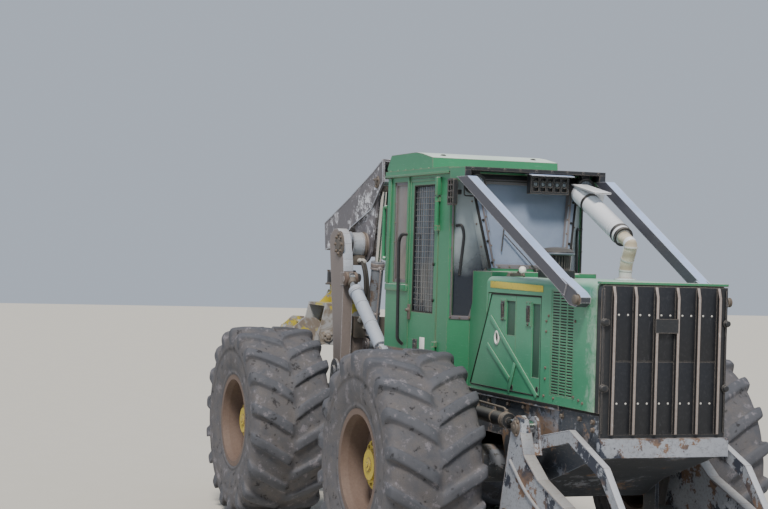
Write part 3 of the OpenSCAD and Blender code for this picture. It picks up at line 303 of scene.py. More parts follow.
# Grapple: lemon yellow, mostly scraped to pale grey steel by logs
grapplePaint = paintedSteel("scraped_yellow_grapple", "yellow_paint",
    "#b5a52c #cdbf52 #77705c #a8a69b #8d8c86 #a2a4a6 #82796f",
    mottle=0.6, dust=0.4, scratch=0.8, edge=0.016, patches=1.7, patchScale=2.4, bump=0.4, stains=6.0)
# Mild steel plate ground bright by soil and bark, brown where it has rusted since
wornSteel = paintedSteel("ground_mild_steel", "worn_steel",
    "#8f8e8c #b1afab #7a6f66 #a39684 #5f5b58 #7c6a60 #6a4a3a",
    mottle=0.7, scratch=0.8, patches=0.14, gloss=0.45, bump=0.4)
# Zinc-plated clamps, rivets and wire, gone dull
zincPlate = paintedSteel("dull_zinc_plate", "worn_steel",
    "#b5b6b4 #cfd0cd #8f8a80 #b3a78c #8a8a88 #8d8880 #7d6550",
    dust=0.2, scratch=0.2, edge=0.004, gloss=0.38, bump=0.15)
# Galvanised mesh wire, dulled by weather
galvanisedWire = paintedSteel("weathered_mesh_wire", "worn_steel",
    "#62676e #7d838b #4b4a48 #b3a78c #8a8d92 #6d6a66 #6b5a4d",
    dust=0.3, scratch=0.2, edge=0.002, bump=0.1)
# Silver paint over a cylinder's barrel, streaked with grease
silverPaint = paintedSteel("silver_cylinder_paint", "cast_iron",
    "#8f99a9 #abb6c6 #6d655e #c9ccd2 #7a7d83 #7d7a78 #6f5a4b",
    mottle=0.4, patches=0.1, gloss=0.36, bump=0.25)
# Cylinder paint dulled by oil, with brown stains
oiledGrey = paintedSteel("oiled_grey_cylinder", "cast_iron",
    "#636870 #868d98 #5c5048 #9aa0aa #a9afba #6b5f58 #50453f",
    mottle=0.5, dust=0.4, patches=0.5, gloss=0.36, bump=0.25, stains=5.0)
# Sand-cast iron with an oily brown film
castIron = paintedSteel("oily_cast_iron", "cast_iron",
    "#4a4744 #66605a #6d5a49 #847c72 #8d8881 #8b867e #6a4b37",
    mottle=0.7, dust=0.6, patches=0.1, gloss=0.6, bump=0.6)
# Aluminised exhaust steel: bright silver white, stained a little by heat
heatSteel = paintedSteel("aluminised_exhaust_steel", "heat_shield",
    "#cdd3de #e2e7ef #a39c92 #f0f1f4 #a5a6aa #a09a92 #8a705a",
    mottle=0.25, scratch=0.2, edge=0.006, gloss=0.34)
# Spun cap of the air cleaner, mid grey, turning blue-grey where it faces up
capGrey = paintedSteel("spun_grey_cap", "black_paint",
    "#5f6673 #6d7583 #55565c #8f97a6 #9ba0ab #c9cbd2 #8a8a90",
    mottle=0.25, dust=0.75, scratch=0.2, edge=0.006, edgeWear=0.26, patches=0.02, gloss=0.4, bump=0.15)
# Extruded EPDM seal: matt black, slightly bloomed; also laid in the hood panel's gaps and behind its slots as painted
# shade
rubberTrim = paintedSteel("bloomed_rubber_seal", "black_paint",
    "#151517 #222224 #3c3a37 #55524d #3a3a3a #2a2a2a #333230",
    dust=0.6, scratch=0.1, edge=0.002, patches=0.0, gloss=0.75)
# Yellow vinyl stripe, cracked and lifting, with green showing through
stripeFilm = paintedSteel("cracked_yellow_vinyl", "yellow_paint",
    "#d5bd2e #e2cf56 #6d8a4e #b3a78c #4c8a58 #57925f #3f7a4c",
    mottle=0.5, dust=0.2, scratch=0.6, edge=0.006, patches=0.12, patchScale=9.0, gloss=0.4)
# White PVC knob and grommet
whiteVinyl = paintedSteel("white_pvc", "clear_window",
    "#e6e6e2 #f2f2ef #a8a69c #b3a78c #b9b8b0 #cfcfc8 #b5b3aa",
    mottle=0.15, dust=0.1, scratch=0.1, edge=0.002, patches=0.0, gloss=0.4, bump=0.1)
# Paint rubbed away along an edge: bluish bright steel with paint left in its hollows; its brightness and blue are
# painted highlight as well as wear
rubbedEdgeHighlight = paintedSteel("rubbed_edge_with_highlight", "dark_grey_paint",
    "#9aa2b0 #b8c0cd #6d665f #b3a78c #dfe3ea #6b6762 #7d6552",
    mottle=0.35, dust=0.3, scratch=0.5, edge=0.006, patches=0.12, gloss=0.4, bump=0.25)
# Grille bar faces: brown-grey primer, hammered and rubbed bright
rubbedBar = paintedSteel("rubbed_grille_bar", "worn_steel",
    "#857d7b #a09894 #54504e #d5d5d8 #c9c6c4 #6d625c #7a5c48",
    mottle=0.6, dust=0.6, scratch=0.6, stretch=(4, 4, 1), edge=0.006, patches=0.12, gloss=0.45, bump=0.4)
# Grille sheet: black paint, blue-grey with dust
grilleSheet = paintedSteel("dusty_black_sheet", "black_paint",
    "#15171c #20232a #4a4a4f #b3a78c #56585f #8a8884 #5f5048",
    dust=0.4, scratch=0.25, stretch=(3, 3, 0.8), edge=0.006, patches=0.03, gloss=0.45)
# Steel tube polished by rubbing, with dark scuffs
polishedSteel = paintedSteel("rubbed_steel_tube", "worn_steel",
    "#8f97a3 #b3bbc6 #4b4845 #b3a78c #4d4d50 #55524f #6f5a4b",
    mottle=0.5, dust=0.3, scratch=0.6, patches=0.14, gloss=0.28)
# Bosses brown with rust and grease
rustBoss = paintedSteel("rust_brown_boss", "worn_steel",
    "#54463f #6b5c53 #3f342e #93887d #8d8078 #8d8580 #5a3b2a",
    mottle=0.7, scratch=0.3, edge=0.008, patches=0.1, gloss=0.6, bump=0.5)
# Edge steel of the blade's levers, primer rubbed to steel and rust, pale on top with dust and painted sunlight
scrapedEdge = paintedSteel("scraped_lever_edge", "worn_steel",
    "#7b8089 #999ea8 #6f665f #b3a78c #55585c #6f6c69 #8d6a4f",
    mottle=0.8, dust=0.3, scratch=0.7, edge=0.008, patches=0.2, gloss=0.42, bump=0.35)
# Enamel darkened as painted shade for the sunk pockets, mottled with grime
pocketShadeGreen = paintedSteel("pocket_shade_enamel", "green_paint",
    "#2d4f40 #3a5f4f #4b4f48 #b3a78c #5f7a6d #6d7068 #5a4a3b",
    mottle=0.4, scratch=0.2, edge=0.004, patches=0.02)
# Bark crumbs and dry leaves caught on the frame's lip
barkDebris = paintedSteel("dry_bark_crumbs", "worn_steel",
    "#6b5846 #a39680 #3f342a #c4b9a5 #8d7a62 #4b3c30 #8a6f52",
    mottle=0.6, scratch=0.2, edge=0.003, patches=0.1, gloss=0.85, bump=0.6)
# Glass-fibre heat wrap, cream, wound in a 50 mm band
exhaustWrap, tree, place = startMaterial("glass_fibre_heat_wrap")
winding = wavesOn(tree, place, "Z", 3.2, 1.2)
fibre = noiseOn(tree, place, 70.0, 4.0, 0.7)
wrapTone = mixTones(tree, fibre, "#9b917f", mixTones(tree, winding, "#b3a893", "#ebe4d4"))
finishSurface(tree, {"Roughness": 0.9, "Sheen Weight": 0.2},
              {"Base Color": wrapTone, "Normal": bumpOf(tree, winding, 0.7, 0.003)})

# Textile-braided hose cover, black, greyed with dust
braidedHose, tree, place = startMaterial("braided_hose_cover")
weave = addNode(tree, "ShaderNodeTexVoronoi", {"Scale": 220.0}, {"Vector": place}).outputs["Distance"]
hoseTone = mixTones(tree, noiseOn(tree, place, 12.0, 6.0, 0.65), "#1b1b1d", "#4d4a46")
finishSurface(tree, {"Roughness": 0.75, "IOR": 1.5},
              {"Base Color": hoseTone, "Normal": bumpOf(tree, weave, 0.4, 0.001)})

# Moulded lamp lens: clear glass before a bright bowl
lampLens, tree, place = startMaterial("fluted_lamp_glass")
flutes = wavesOn(tree, place, "Y", 22.0, 0.0)
lensTone = mixTones(tree, flutes, "#3a4046", "#8a949b")
finishSurface(tree, {"Roughness": 0.12, "IOR": 1.5, "Coat Weight": 0.5},
              {"Base Color": lensTone, "Normal": bumpOf(tree, flutes, 0.3, 0.001)})

# Hard chrome plate on a ground rod: a mirror with fine machining and a film of oil
chrome, tree, place = startMaterial("hard_chrome_plate")
smear = noiseOn(tree, place, 14.0, 4.0)
film = mixTones(tree, smear, "#dfe1e3", "#b3aea4")
finishSurface(tree, {"Metallic": 1.0}, {"Base Color": film, "Roughness": spread(tree, smear, 0.0, 1.0, 0.12, 0.32)})

# Natural rubber, moulded: bare lug faces worn dark, clay dried pale in the grooves and on the walls
tyreRubber, tree, place = startMaterial("dusty_moulded_rubber")
clay = noiseOn(tree, place, 7.0, 9.0, 0.7)
grit = noiseOn(tree, place, 130.0, 4.0, 0.6)
lugWear = addNode(tree, "ShaderNodeAttribute", {"attribute_name": "lugWear"}).outputs["Fac"]
clayLeft = arithmetic(tree, "SUBTRACT", 1.0, arithmetic(tree, "MULTIPLY_ADD", lugWear, 1.25, -0.1), clamp=True)
clayMask = arithmetic(tree, "MULTIPLY_ADD", clayLeft, 0.75, 0.12, clamp=True)
clayShare = arithmetic(tree, "MULTIPLY", clayMask, spread(tree, clay, 0.3, 0.62))
rubberTone = mixTones(tree, clayShare, mixTones(tree, clay, "#44474f", "#5c5f67"),
                      mixTones(tree, grit, "#4d4a4b", "#716d6d"))
# Torn places, dark and sunk, and pale scuffs where stumps rubbed
torn = noiseOn(tree, place, 11.0, 10.0, 0.72)
tornShare = spread(tree, torn, 0.6, 0.64, 0.0, 0.75)
rubberTone = mixTones(tree, spread(tree, torn, 0.44, 0.36, 0.0, 0.65), rubberTone, "#85828a")
rubberTone = mixTones(tree, tornShare, rubberTone, "#26262a")
rough = arithmetic(tree, "MULTIPLY_ADD", tornShare, -2.0, grit)
finishSurface(tree, {"Roughness": 0.8, "IOR": 1.52, "Specular IOR Level": 0.35},
              {"Base Color": rubberTone, "Normal": bumpOf(tree, rough, 0.7, 0.004)})

# Polycarbonate windows, hazed blue-white by fine scratches; the side panes are darker towards their foot
cabWindow, tree, place = startMaterial("scratched_polycarbonate")
haze = noiseOn(tree, place, 2.2, 8.0, 0.65)
normalParts = axisParts(tree, addNode(tree, "ShaderNodeNewGeometry").outputs["Normal"])
sideShare = spread(tree, arithmetic(tree, "ABSOLUTE", normalParts["Y"]), 0.4, 0.6)
wavyHeight = arithmetic(tree, "MULTIPLY_ADD", haze, 0.5, axisParts(tree, place)["Z"])
sideTone = mixTones(tree, spread(tree, wavyHeight, 2.6, 2.95), "#2c323d", "#aebcc2")
paneTone = mixTones(tree, sideShare, mixTones(tree, haze, "#7484a0", "#aab8d0"), sideTone)
finishSurface(tree, {"IOR": 1.58, "Alpha": 0.68},
              {"Base Color": paneTone, "Roughness": spread(tree, haze, 0.0, 1.0, 0.03, 0.25)})

# Door panes: dark tint with pale upright streaks of weather
doorPane, tree, place = startMaterial("dark_tinted_pane")
upright = addNode(tree, "ShaderNodeMapping", {"Scale": (9.0, 1.0, 0.8)}, {"Vector": place}).outputs[0]
streaks = spread(tree, noiseOn(tree, upright, 2.4, 6.0, 0.6), 0.42, 0.72)
finishSurface(tree, {"IOR": 1.58, "Roughness": 0.12}, {"Base Color": mixTones(tree, streaks, "#1d2127", "#5d6b75")})

# Rear side panes: plastic gone brown, mottled lighter and darker
brownPane, tree, place = startMaterial("browned_polycarbonate")
cloud = noiseOn(tree, place, 4.0, 7.0, 0.7)
finishSurface(tree, {"IOR": 1.58, "Roughness": 0.2}, {"Base Color": mixTones(tree, cloud, "#5f5956", "#857d79")})

# Woven polyester seat cloth, dark, with a 2 mm rib
seatCloth, tree, place = startMaterial("woven_seat_cloth")
rib = wavesOn(tree, place, "Y", 80.0, 0.6)
finishSurface(tree, {"Roughness": 0.9, "Sheen Weight": 0.3},
              {"Base Color": mixTones(tree, rib, "#23262a", "#3a3e43"), "Normal": bumpOf(tree, rib, 0.4, 0.001)})

finishes = {
    "green_paint": greenEnamel, "dark_grey_paint": chassisPaint, "black_paint": blackEnamel,
    "yellow_paint": yellowEnamel, "worn_steel": wornSteel, "rod_chrome": chrome, "cast_iron": castIron,
    "heat_shield": heatSteel, "tyre_rubber": tyreRubber, "clear_window": cabWindow, "seat_fabric": seatCloth,
}
# Nodes whose finish isn't the usual one for their slot
ownFinish = {
    "hood": hoodEnamel, "hood_side_panels": hoodEnamel, "limb_risers": scuffedGrey, "boom": boomPaint,
    "arch": archPaint, "arch_barrels": silverPaint, "boom_barrels": oiledGrey, "blade_arms": scrapedPlate,
    "front_bumper": scrapedPlate, "rim_front_right": frontWheelRust, "rim_front_left": frontWheelRust,
    "rim_rear_right": rearWheelRust, "rim_rear_left": rearWheelRust, "grapple_head": grapplePaint,
    "tong_right": grapplePaint, "tong_left": grapplePaint,
}
for row in frame["record"]["subparts"]:
    for nodeSlot in nodes[row["node"]].material_slots:
        nodeSlot.material = ownFinish.get(row["node"], finishes[row["material_slot"]])
print("materials: %d finishes" % len(bpy.data.materials))

# Modelling helpers. Places are in millimetres from the front axle, which stands at axleX in metres.
axleX = 1.34
axleZ = 895
rearAxleX = -3500


def spot(x, y, z):
    return Vector((x / 1000 + axleX, y / 1000, z / 1000))


def onlySelect(*chosen):
    if bpy.context.object and bpy.context.object.mode != "OBJECT":
        bpy.ops.object.mode_set(mode="OBJECT")
    bpy.ops.object.select_all(action="DESELECT")
    for thing in chosen:
        thing.select_set(True)
    bpy.context.view_layer.objects.active = chosen[0]


def newShape(operator, **settings):
    bpy.ops.object.select_all(action="DESELECT")
    operator(**settings)
    return bpy.context.object


# One step of mesh editing on the whole of the active piece
def editAll(operator, **settings):
    bpy.ops.object.mode_set(mode="EDIT")
    bpy.ops.mesh.select_all(action="SELECT")
    operator(**settings)
    bpy.ops.object.mode_set(mode="OBJECT")


# Joins the parts, applies the place, rounds the edges, smooths, and gives the piece its finish and its body
def finishPiece(parts, name, look, body="front", edge=0.0, smooth=40):
    piece = joinAll(parts) if isinstance(parts, list) else parts
    onlySelect(piece)
    piece.name = name
    bpy.ops.object.transform_apply(location=True, rotation=True, scale=True)
    if edge:
        bevel = piece.modifiers.new("edge", "BEVEL")
        bevel.width = edge / 1000
        bevel.segments = 2
        bevel.limit_method = "ANGLE"
        bevel.angle_limit = math.radians(38)
        bpy.ops.object.modifier_apply(modifier=bevel.name)
    editAll(bpy.ops.mesh.normals_make_consistent, inside=False)
    bpy.ops.object.shade_smooth_by_angle(angle=math.radians(smooth))
    piece.data.materials.clear()
    piece.data.materials.append(look)
    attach(piece, body)
    return piece


def joinAll(parts):
    onlySelect(*parts)
    if len(parts) > 1:
        bpy.ops.object.join()
    return bpy.context.object


# A block between two corners, in millimetres
def block(low, high):
    a, b = spot(*low), spot(*high)
    return newShape(bpy.ops.mesh.primitive_cube_add, size=1, location=(a + b) / 2, scale=b - a)


# A bar from one point to another, with its own width and depth
def bar(start, end, width, depth, roll=0):
    a, b = spot(*start), spot(*end)
    piece = newShape(bpy.ops.mesh.primitive_cube_add, size=1, location=(a + b) / 2)
    piece.rotation_mode = "QUATERNION"
    spin = Matrix.Rotation(math.radians(roll), 3, "X").to_quaternion()
    piece.rotation_quaternion = (b - a).to_track_quat("X", "Z") @ spin
    piece.scale = ((b - a).length, width / 1000, depth / 1000)
    return piece


# A turned part: rings of (distance along, radius) from start towards end, closed at both ends
def turned(start, end, rings, sides=24):
    a, b = spot(*start), spot(*end)
    axis = (b - a).normalized()
    piece = newShape(bpy.ops.mesh.primitive_circle_add, vertices=sides, radius=rings[0][1] / 1000, fill_type="NGON")
    bpy.ops.object.mode_set(mode="EDIT")
    bpy.ops.mesh.select_all(action="SELECT")
    bpy.ops.transform.translate(value=(0, 0, rings[0][0] / 1000))
    for (along, radius), (before, old) in zip(rings[1:], rings):
        bpy.ops.mesh.extrude_region_move(TRANSFORM_OT_translate={"value": (0, 0, (along - before) / 1000)})
        if radius != old:
            bpy.ops.transform.resize(value=(radius / old, radius / old, 1))
    bpy.ops.object.mode_set(mode="OBJECT")
    piece.rotation_mode = "QUATERNION"
    piece.rotation_quaternion = axis.to_track_quat("Z", "Y")
    piece.location = a
    return piece


# A turned part standing out along Y on one side, between two distances from the middle
def boss(side, x, z, near, far, rings, sides=24):
    return turned((x, side * near, z), (x, side * far, z), rings, sides)


# A slab across y, between two corners in the XZ plane
def slab(y, half, low, high):
    return block((low[0], y - half, low[1]), (high[0], y + half, high[1]))


# A plate through the given corners, thickened along push
def plateFrom(points, push):
    piece = newShape(bpy.ops.mesh.primitive_circle_add, vertices=len(points), radius=1, fill_type="NGON")
    for vertex, place in zip(piece.data.vertices, points):
        vertex.co = spot(*place)
    editAll(bpy.ops.mesh.extrude_region_move, TRANSFORM_OT_translate={"value": tuple(p / 1000 for p in push)})
    return piece


# Places in the XZ plane, set at y
def atY(y, path):
    return [(x, y, z) for x, z in path]


# A plate cut to an outline in the XZ plane, standing from one y to the other
def sidePlate(outline, y, depth):
    return plateFrom(atY(y, outline), (0, depth, 0))


# Turns the corners of a path into arcs
def rounded(points, radius, steps=5):
    path = [Vector(points[0])]
    for before, corner, after in zip(points, points[1:], points[2:]):
        before, corner, after = Vector(before), Vector(corner), Vector(after)
        inward, onward = (before - corner).normalized(), (after - corner).normalized()
        reach = min(radius, (before - corner).length * 0.49, (after - corner).length * 0.49)
        first, last = corner + inward * reach, corner + onward * reach
        for step in range(steps + 1):
            t = step / steps
            path.append(first * (1 - t) ** 2 + corner * 2 * t * (1 - t) + last * t ** 2)
    path.append(Vector(points[-1]))
    return path


# A round curve through the places, in metres, closed at its ends
def roundCurve(name, path, radius, sides):
    curve = bpy.data.curves.new(name, "CURVE")
    curve.dimensions = "3D"
    curve.bevel_depth = radius
    curve.bevel_resolution = sides
    curve.use_fill_caps = True
    spline = curve.splines.new("POLY")
    spline.points.add(len(path) - 1)
    for point, place in zip(spline.points, path):
        point.co = place.to_4d()
    piece = bpy.data.objects.new(name, curve)
    bpy.context.scene.collection.objects.link(piece)
    return piece


# A bent tube along a path in millimetres, closed at its ends
def tube(points, radius, bend=60, sides=4):
    path = rounded(points, bend) if bend else points
    piece = roundCurve("tube", [spot(*place) for place in path], radius / 1000, sides)
    onlySelect(piece)
    bpy.ops.object.convert(target="MESH")
    return bpy.context.object


# Copies a model to each place, turned so that its +Z points the given way
def copyTo(model, places):
    copies = []
    for place, way in places:
        twin = model.copy()
        twin.data = model.data.copy()
        bpy.context.scene.collection.objects.link(twin)
        twin.matrix_world = Matrix.Translation(spot(*place)) @ Vector(way).to_track_quat("Z", "Y").to_matrix().to_4x4()
        copies.append(twin)
    bpy.data.objects.remove(model)
    return joinAll(copies)


# Hexagon bolt head on its washer, standing on the origin
def boltModel(across, height):
    washer = newShape(bpy.ops.mesh.primitive_cylinder_add, vertices=12, radius=across * 0.68 / 1000,
                      depth=height * 0.25 / 1000, location=(0, 0, height * 0.1 / 1000))
    head = newShape(bpy.ops.mesh.primitive_cylinder_add, vertices=6, radius=across * 0.56 / 1000, depth=height / 1000,
                    location=(0, 0, height * 0.6 / 1000))
    editAll(bpy.ops.mesh.bevel, offset=across * 0.05 / 1000, segments=1)
    model = joinAll([head, washer])
    bpy.ops.object.transform_apply(location=True, rotation=True, scale=True)
    return model


hands = ((-1, "right"), (1, "left"))


# Bolts of one size, all pointing the same way
def bolts(across, height, places, way):
    return copyTo(boltModel(across, height), [(place, way) for place in places])


def evenly(count):
    return [2 * math.pi * i / count for i in range(count)]


# Places on a ring round the centre, across the axis that the ring's bolts point along
def ringOf(centre, radius, angles, axis):
    first, second = [k for k in range(3) if k != axis]
    places = []
    for angle in angles:
        place = list(centre)
        place[first] += radius * math.cos(angle)
        place[second] += radius * math.sin(angle)
        places.append(place)
    return places


# Flat bars along a path in the XZ plane at y
def barsAlong(path, y, width, depth):
    places = atY(y, path)
    return [bar(start, end, width, depth) for start, end in zip(places, places[1:])]


# Tyres: a closed ring whose rows follow the lugs of the source's tyre, with rounded, worn edges
tyreLook = {
    "lugs": 18, "sweep": 14, "halfWidth": 387,
    # Degrees from a lug's middle, with the share of the lug's height there
    "rows": [(-4.4, 0), (-3.85, 0.14), (-3.3, 0.66), (-2.75, 0.93), (-1.5, 1), (0, 1), (1.5, 1), (2.75, 0.93),
             (3.3, 0.66), (3.85, 0.14), (4.4, 0), (7.2, 0), (10, 0), (12.8, 0)],
    # Distance from the middle, floor radius, lug radius, share of the lug
    "tread": [(16, 859, 893, 0.55), (36, 859, 895, 1), (90, 858, 895, 1), (150, 856, 894, 1), (210, 852, 892, 1),
              (262, 846, 889, 1), (306, 836, 885, 1), (334, 824, 881, 1), (352, 808, 875, 1), (363, 790, 864, 1),
              (369, 770, 846, 1), (372, 752, 820, 1), (374, 738, 786, 1), (375, 722, 742, 1)],
    "lugReach": [0, 0, 0, 0, 0, 0, 3, 7, 9, 12, 14, 14, 11, 4],
    # Distance from the middle and radius, down the sidewall to the bead
    "wall": [(377, 700), (377, 678), (371, 672), (374, 640), (374, 600), (370, 560), (362, 520), (350, 486),
             (347, 470), (352, 462), (350, 446), (338, 432), (326, 412), (322, 403), (281, 402)],
    "inside": [(327, 620), (213, 806)],
}


def makeTyre(name, side, x):
    rows, lugs = tyreLook["rows"], tyreLook["lugs"]
    pitch = 360 / lugs
    half = [(y, (floorR, lugR, share), reach) for (y, floorR, lugR, share), reach
            in zip(tyreLook["tread"], tyreLook["lugReach"])]
    wall = [(y, (r, r, 0), 0) for y, r in tyreLook["wall"] + tyreLook["inside"]]
    oneSide = half + wall
    count = 2 * len(oneSide) + 1
    piece = newShape(bpy.ops.mesh.primitive_torus_add, major_segments=len(rows) * lugs, minor_segments=count,
                     major_radius=0.6, minor_radius=0.2, generate_uvs=False)
    coords, wear = [], []
    # Each lug leans and is worn a little differently
    leans = [0.55 * math.sin(2.4 * k + side) for k in range(lugs + 1)]
    heights = [0.95 - 0.05 * math.sin(3.7 * k + 2 * side) for k in range(lugs + 1)]
    for row in range(len(rows) * lugs):
        near = (row // len(rows) * pitch + rows[row % len(rows)][0], rows[row % len(rows)][1])
        shifted = row + len(rows) // 2
        far = (shifted // len(rows) * pitch - pitch / 2 + rows[shifted % len(rows)][0], rows[shifted % len(rows)][1])
        section = [(0, (859, 886, 0.42 * (near[1] + far[1])), 0, (near[0] + far[0]) / 2, 1)]
        section += [(y, radii, reach, near[0], near[1]) for y, radii, reach in oneSide]
        section += [(-y, radii, -reach, far[0], far[1]) for y, radii, reach in reversed(oneSide)]
        for y, (floorR, lugR, share), reach, angle, up in section:
            lug = (row if y > 0 else shifted) // len(rows) % lugs
            radius = floorR + (lugR - floorR) * share * up * heights[lug]
            dent = noise.noise(Vector((angle * 0.21, y * 0.012, lug * 3.1)))
            if lugR > floorR:
                radius = min(radius + 5 * dent, lugR - 0.5)
            wear.append(float(up * share) if lugR > floorR else 0.0)
            lag = tyreLook["sweep"] * (abs(y) - 34) / (tyreLook["halfWidth"] - 34)
            wave = 0.35 * math.sin(math.pi * min(abs(y), 330) / 330)
            turnAngle = math.radians(angle + leans[lug] * up * min(1, abs(y) / 120) - max(lag, -1) - wave)
            across = y + reach * up
            coords += [-radius * math.sin(turnAngle) / 1000 + x / 1000 + axleX, (-side * across + side * 1200) / 1000,
                       -radius * math.cos(turnAngle) / 1000 + axleHeight]
    piece.data.vertices.foreach_set("co", coords)
    piece.data.update()
    # How much of a lug's face a point is, for the rubber's wear
    wearLayer = piece.data.attributes.new("lugWear", "FLOAT", "POINT")
    for point, value in zip(wearLayer.data, wear):
        point.value = value
    piece.location = (0, 0, 0)
    finishPiece(piece, name, tyreRubber, body="wheel_" + name.split("_", 1)[1], smooth=60)
    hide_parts("tyre_" + name.split("_", 1)[1])
    return piece


# The four wheels: corner, side, axle's place along X, body that carries the axle
wheels = (("front_right", -1, 0, "front"), ("front_left", 1, 0, "front"),
          ("rear_right", -1, rearAxleX, "rear"), ("rear_left", 1, rearAxleX, "rear"))
hubLook = {"face": 1333, "cover": 1408, "nutRing": 226, "nuts": 20, "coverRing": 160, "coverBolts": 14}
for corner, side, x, _ in wheels:
    makeTyre("lugs_" + corner, side, x)
    # Wheel nuts round the hub, cover bolts on it, and the valve
    out = (0, side, 0)
    nuts = bolts(32, 26, ringOf((x, side * hubLook["face"], axleZ), hubLook["nutRing"],
                                evenly(hubLook["nuts"]), 1), out)
    cover = bolts(19, 12, ringOf((x, side * hubLook["cover"], axleZ), hubLook["coverRing"],
                                 evenly(hubLook["coverBolts"]), 1), out)
    valve = turned((x + 300, side * 1325, 1040), (x + 300, side * 1390, 1058),
                   [(0, 9), (20, 9), (20, 6), (46, 6), (46, 8), (60, 8)], 12)
    plug = boss(side, x, axleZ, 1446, 1470, [(0, 60), (4, 60), (6, 52), (14, 48), (14, 22), (20, 20)], 24)
    finishPiece([nuts, cover, valve, plug], "wheel_nuts_" + corner, frontWheelRust if x == 0 else rearWheelRust,
                body="wheel_" + corner)
print("wheels ready")

# Hood: stripe, panel fittings, latch and handles
hoodLook = {
    "stripe": [(71, 2275), (1023, 2266), (1023, 2317), (71, 2331)],
    "panelEdge": [(95, 2229), (996, 2232), (1006, 1502), (-285, 1502), (23, 2071)],
    "boltHoles": [(1095, 2060), (1095, 1985), (1095, 1720), (1095, 1640), (1640, 1530), (1700, 1515), (1560, 1545),
                  (1560, 2080), (1130, 2100), (1080, 1515), (1240, 1510)],
}
for side, hand in hands:
    stripe = sidePlate(hoodLook["stripe"], side * 500 - (2 if side < 0 else 0), 2)
    finishPiece(stripe, "hood_stripe_" + hand, stripeFilm, edge=0.6)
    # A black tube round the panel's gap: painted shade in the seam
    edge = hoodLook["panelEdge"] + hoodLook["panelEdge"][:1]
    gapShade = tube(atY(side * 497, edge), 5, bend=20, sides=2)
    finishPiece(gapShade, "panel_gap_shade_" + hand, rubberTrim)
    # Flat bars welded over the panel's stiffening ribs, their paler green painted light
    braces = [bar((xa, side * 503.5, za), (xb, side * 503.5, zb), 3, 42)
              for xa, za, xb, zb in ((91, 2047, 960, 1499), (40, 1829, 463, 1591), (564, 1716, 458, 1496))]
    finishPiece(braces, "panel_braces_" + hand, litRibEnamel, edge=1)
    # Paddle latches on their plates: a sunk slot, a paddle and two screws
    latches = []
    for x, z in ((322, 2117), (782, 2100)):
        latchFrame = block((x - 30, side * 503, z - 62), (x + 30, side * 507, z + 62))
        editAll(bpy.ops.mesh.inset, thickness=0.006, depth=0)
        paddle = bar((x, side * 509, z - 34), (x, side * 515, z + 44), 34, 6)
        lock = boss(side, x, z - 78, 504, 514, [(0, 11), (7, 11), (7, 8), (9, 7)], 16)
        latches += [latchFrame, paddle, lock]
    screws = bolts(9, 4, [(x, side * 504, z) for x in (297, 348, 757, 808) for z in (2055, 2180)], (0, side, 0))
    finishPiece(latches + [screws], "panel_latches_" + hand, blackEnamel, edge=1)
    # White grommet round the cable hole
    ring = newShape(bpy.ops.mesh.primitive_torus_add, major_radius=0.035, minor_radius=0.0085, major_segments=32,
                    minor_segments=10, location=spot(217, side * 499, 1893), rotation=(math.radians(90), 0, 0))
    editAll(bpy.ops.transform.resize, value=(1, 1, 1.35), orient_type="GLOBAL")
    finishPiece(ring, "panel_grommet_" + hand, whiteVinyl)
    holes = [boss(side, x, z, 493, 498, [(0, 22), (5.5, 22), (5.5, 19), (4, 17)], 20)
             for x, z in ((508, 1529), (950, 1549), (217, 1893))]
    finishPiece(holes, "panel_holes_" + hand, blackEnamel)
    panelBolts = bolts(17, 9, atY(side * 499.5, hoodLook["boltHoles"]), (0, side, 0))
    finishPiece(panelBolts, "hood_bolts_" + hand, castIron)
    # Pivot bolt of the riser's end plate, with its nut and washer
    pivot = boss(side, 1764, 2238, 586, 640, [(0, 40), (6, 40), (6, 30), (26, 30), (26, 34), (34, 34), (38, 29)], 24)
    finishPiece(pivot, "riser_pivot_" + hand, castIron)
    # Folded rim of the riser's end plate
    rim = tube(atY(side * 583, [(1380, 2327), (1480, 2387), (1730, 2292), (1787, 2257), (1790, 2212)]), 6, bend=30,
               sides=2)
    finishPiece(rim, "riser_rim_" + hand, scuffedGrey)

# Latch with a white knob on the hood's top, and a green lifting pad
latchBase = turned((-5, -300, 2366), (-5, -300, 2400), [(0, 34), (8, 34), (10, 26), (24, 24), (30, 18), (34, 10)], 20)
latchArm = bar((20, -300, 2378), (235, -300, 2386), 34, 26)
latchHook = tube(atY(-300, [(120, 2388), (170, 2414), (225, 2400), (255, 2372)]), 10, bend=30)
finishPiece([latchBase, latchArm, latchHook], "hood_latch", castIron, edge=3)
knob = turned((238, -300, 2396), (205, -300, 2446),
              [(0, 14), (6, 20), (16, 27), (30, 29), (44, 26), (54, 17), (58, 6)], 24)
finishPiece(knob, "latch_knob", whiteVinyl)
pad = block((-180, 215, 2365), (45, 290, 2398))
finishPiece(pad, "lifting_pad", greenEnamel, edge=12)
print("hood ready")

# Grille: rivets, side angles with their hinge knuckles, and the hood's front lip
rivetPlaces = [((1952, 165 * i - 413 + dy, z), (1, 0, 0)) for i in range(5) for dy in (45, 115) for z in (2144, 1534)]
rivet = newShape(bpy.ops.mesh.primitive_uv_sphere_add, segments=12, ring_count=6, radius=0.008)
editAll(bpy.ops.transform.resize, value=(1, 1, 0.55))
bpy.ops.object.transform_apply(scale=True)
finishPiece(copyTo(rivet, rivetPlaces), "grille_rivets", zincPlate)
sideAngles = []
for y in (-492, 468):
    sideAngles.append(block((1940, y, 1330), (1962, y + 14, 2325)))
    for z in (1640, 2093):
        sideAngles.append(turned((1955, y + 7, z), (1990, y + 7, z),
                                 [(0, 26), (10, 26), (12, 17), (22, 17), (22, 21), (32, 21), (35, 15)], 20))
finishPiece(sideAngles, "grille_angles", blackEnamel, edge=2)
topLip = block((1872, -500, 2352), (1942, 500, 2372))
finishPiece(topLip, "hood_front_lip", greenEnamel, edge=5)
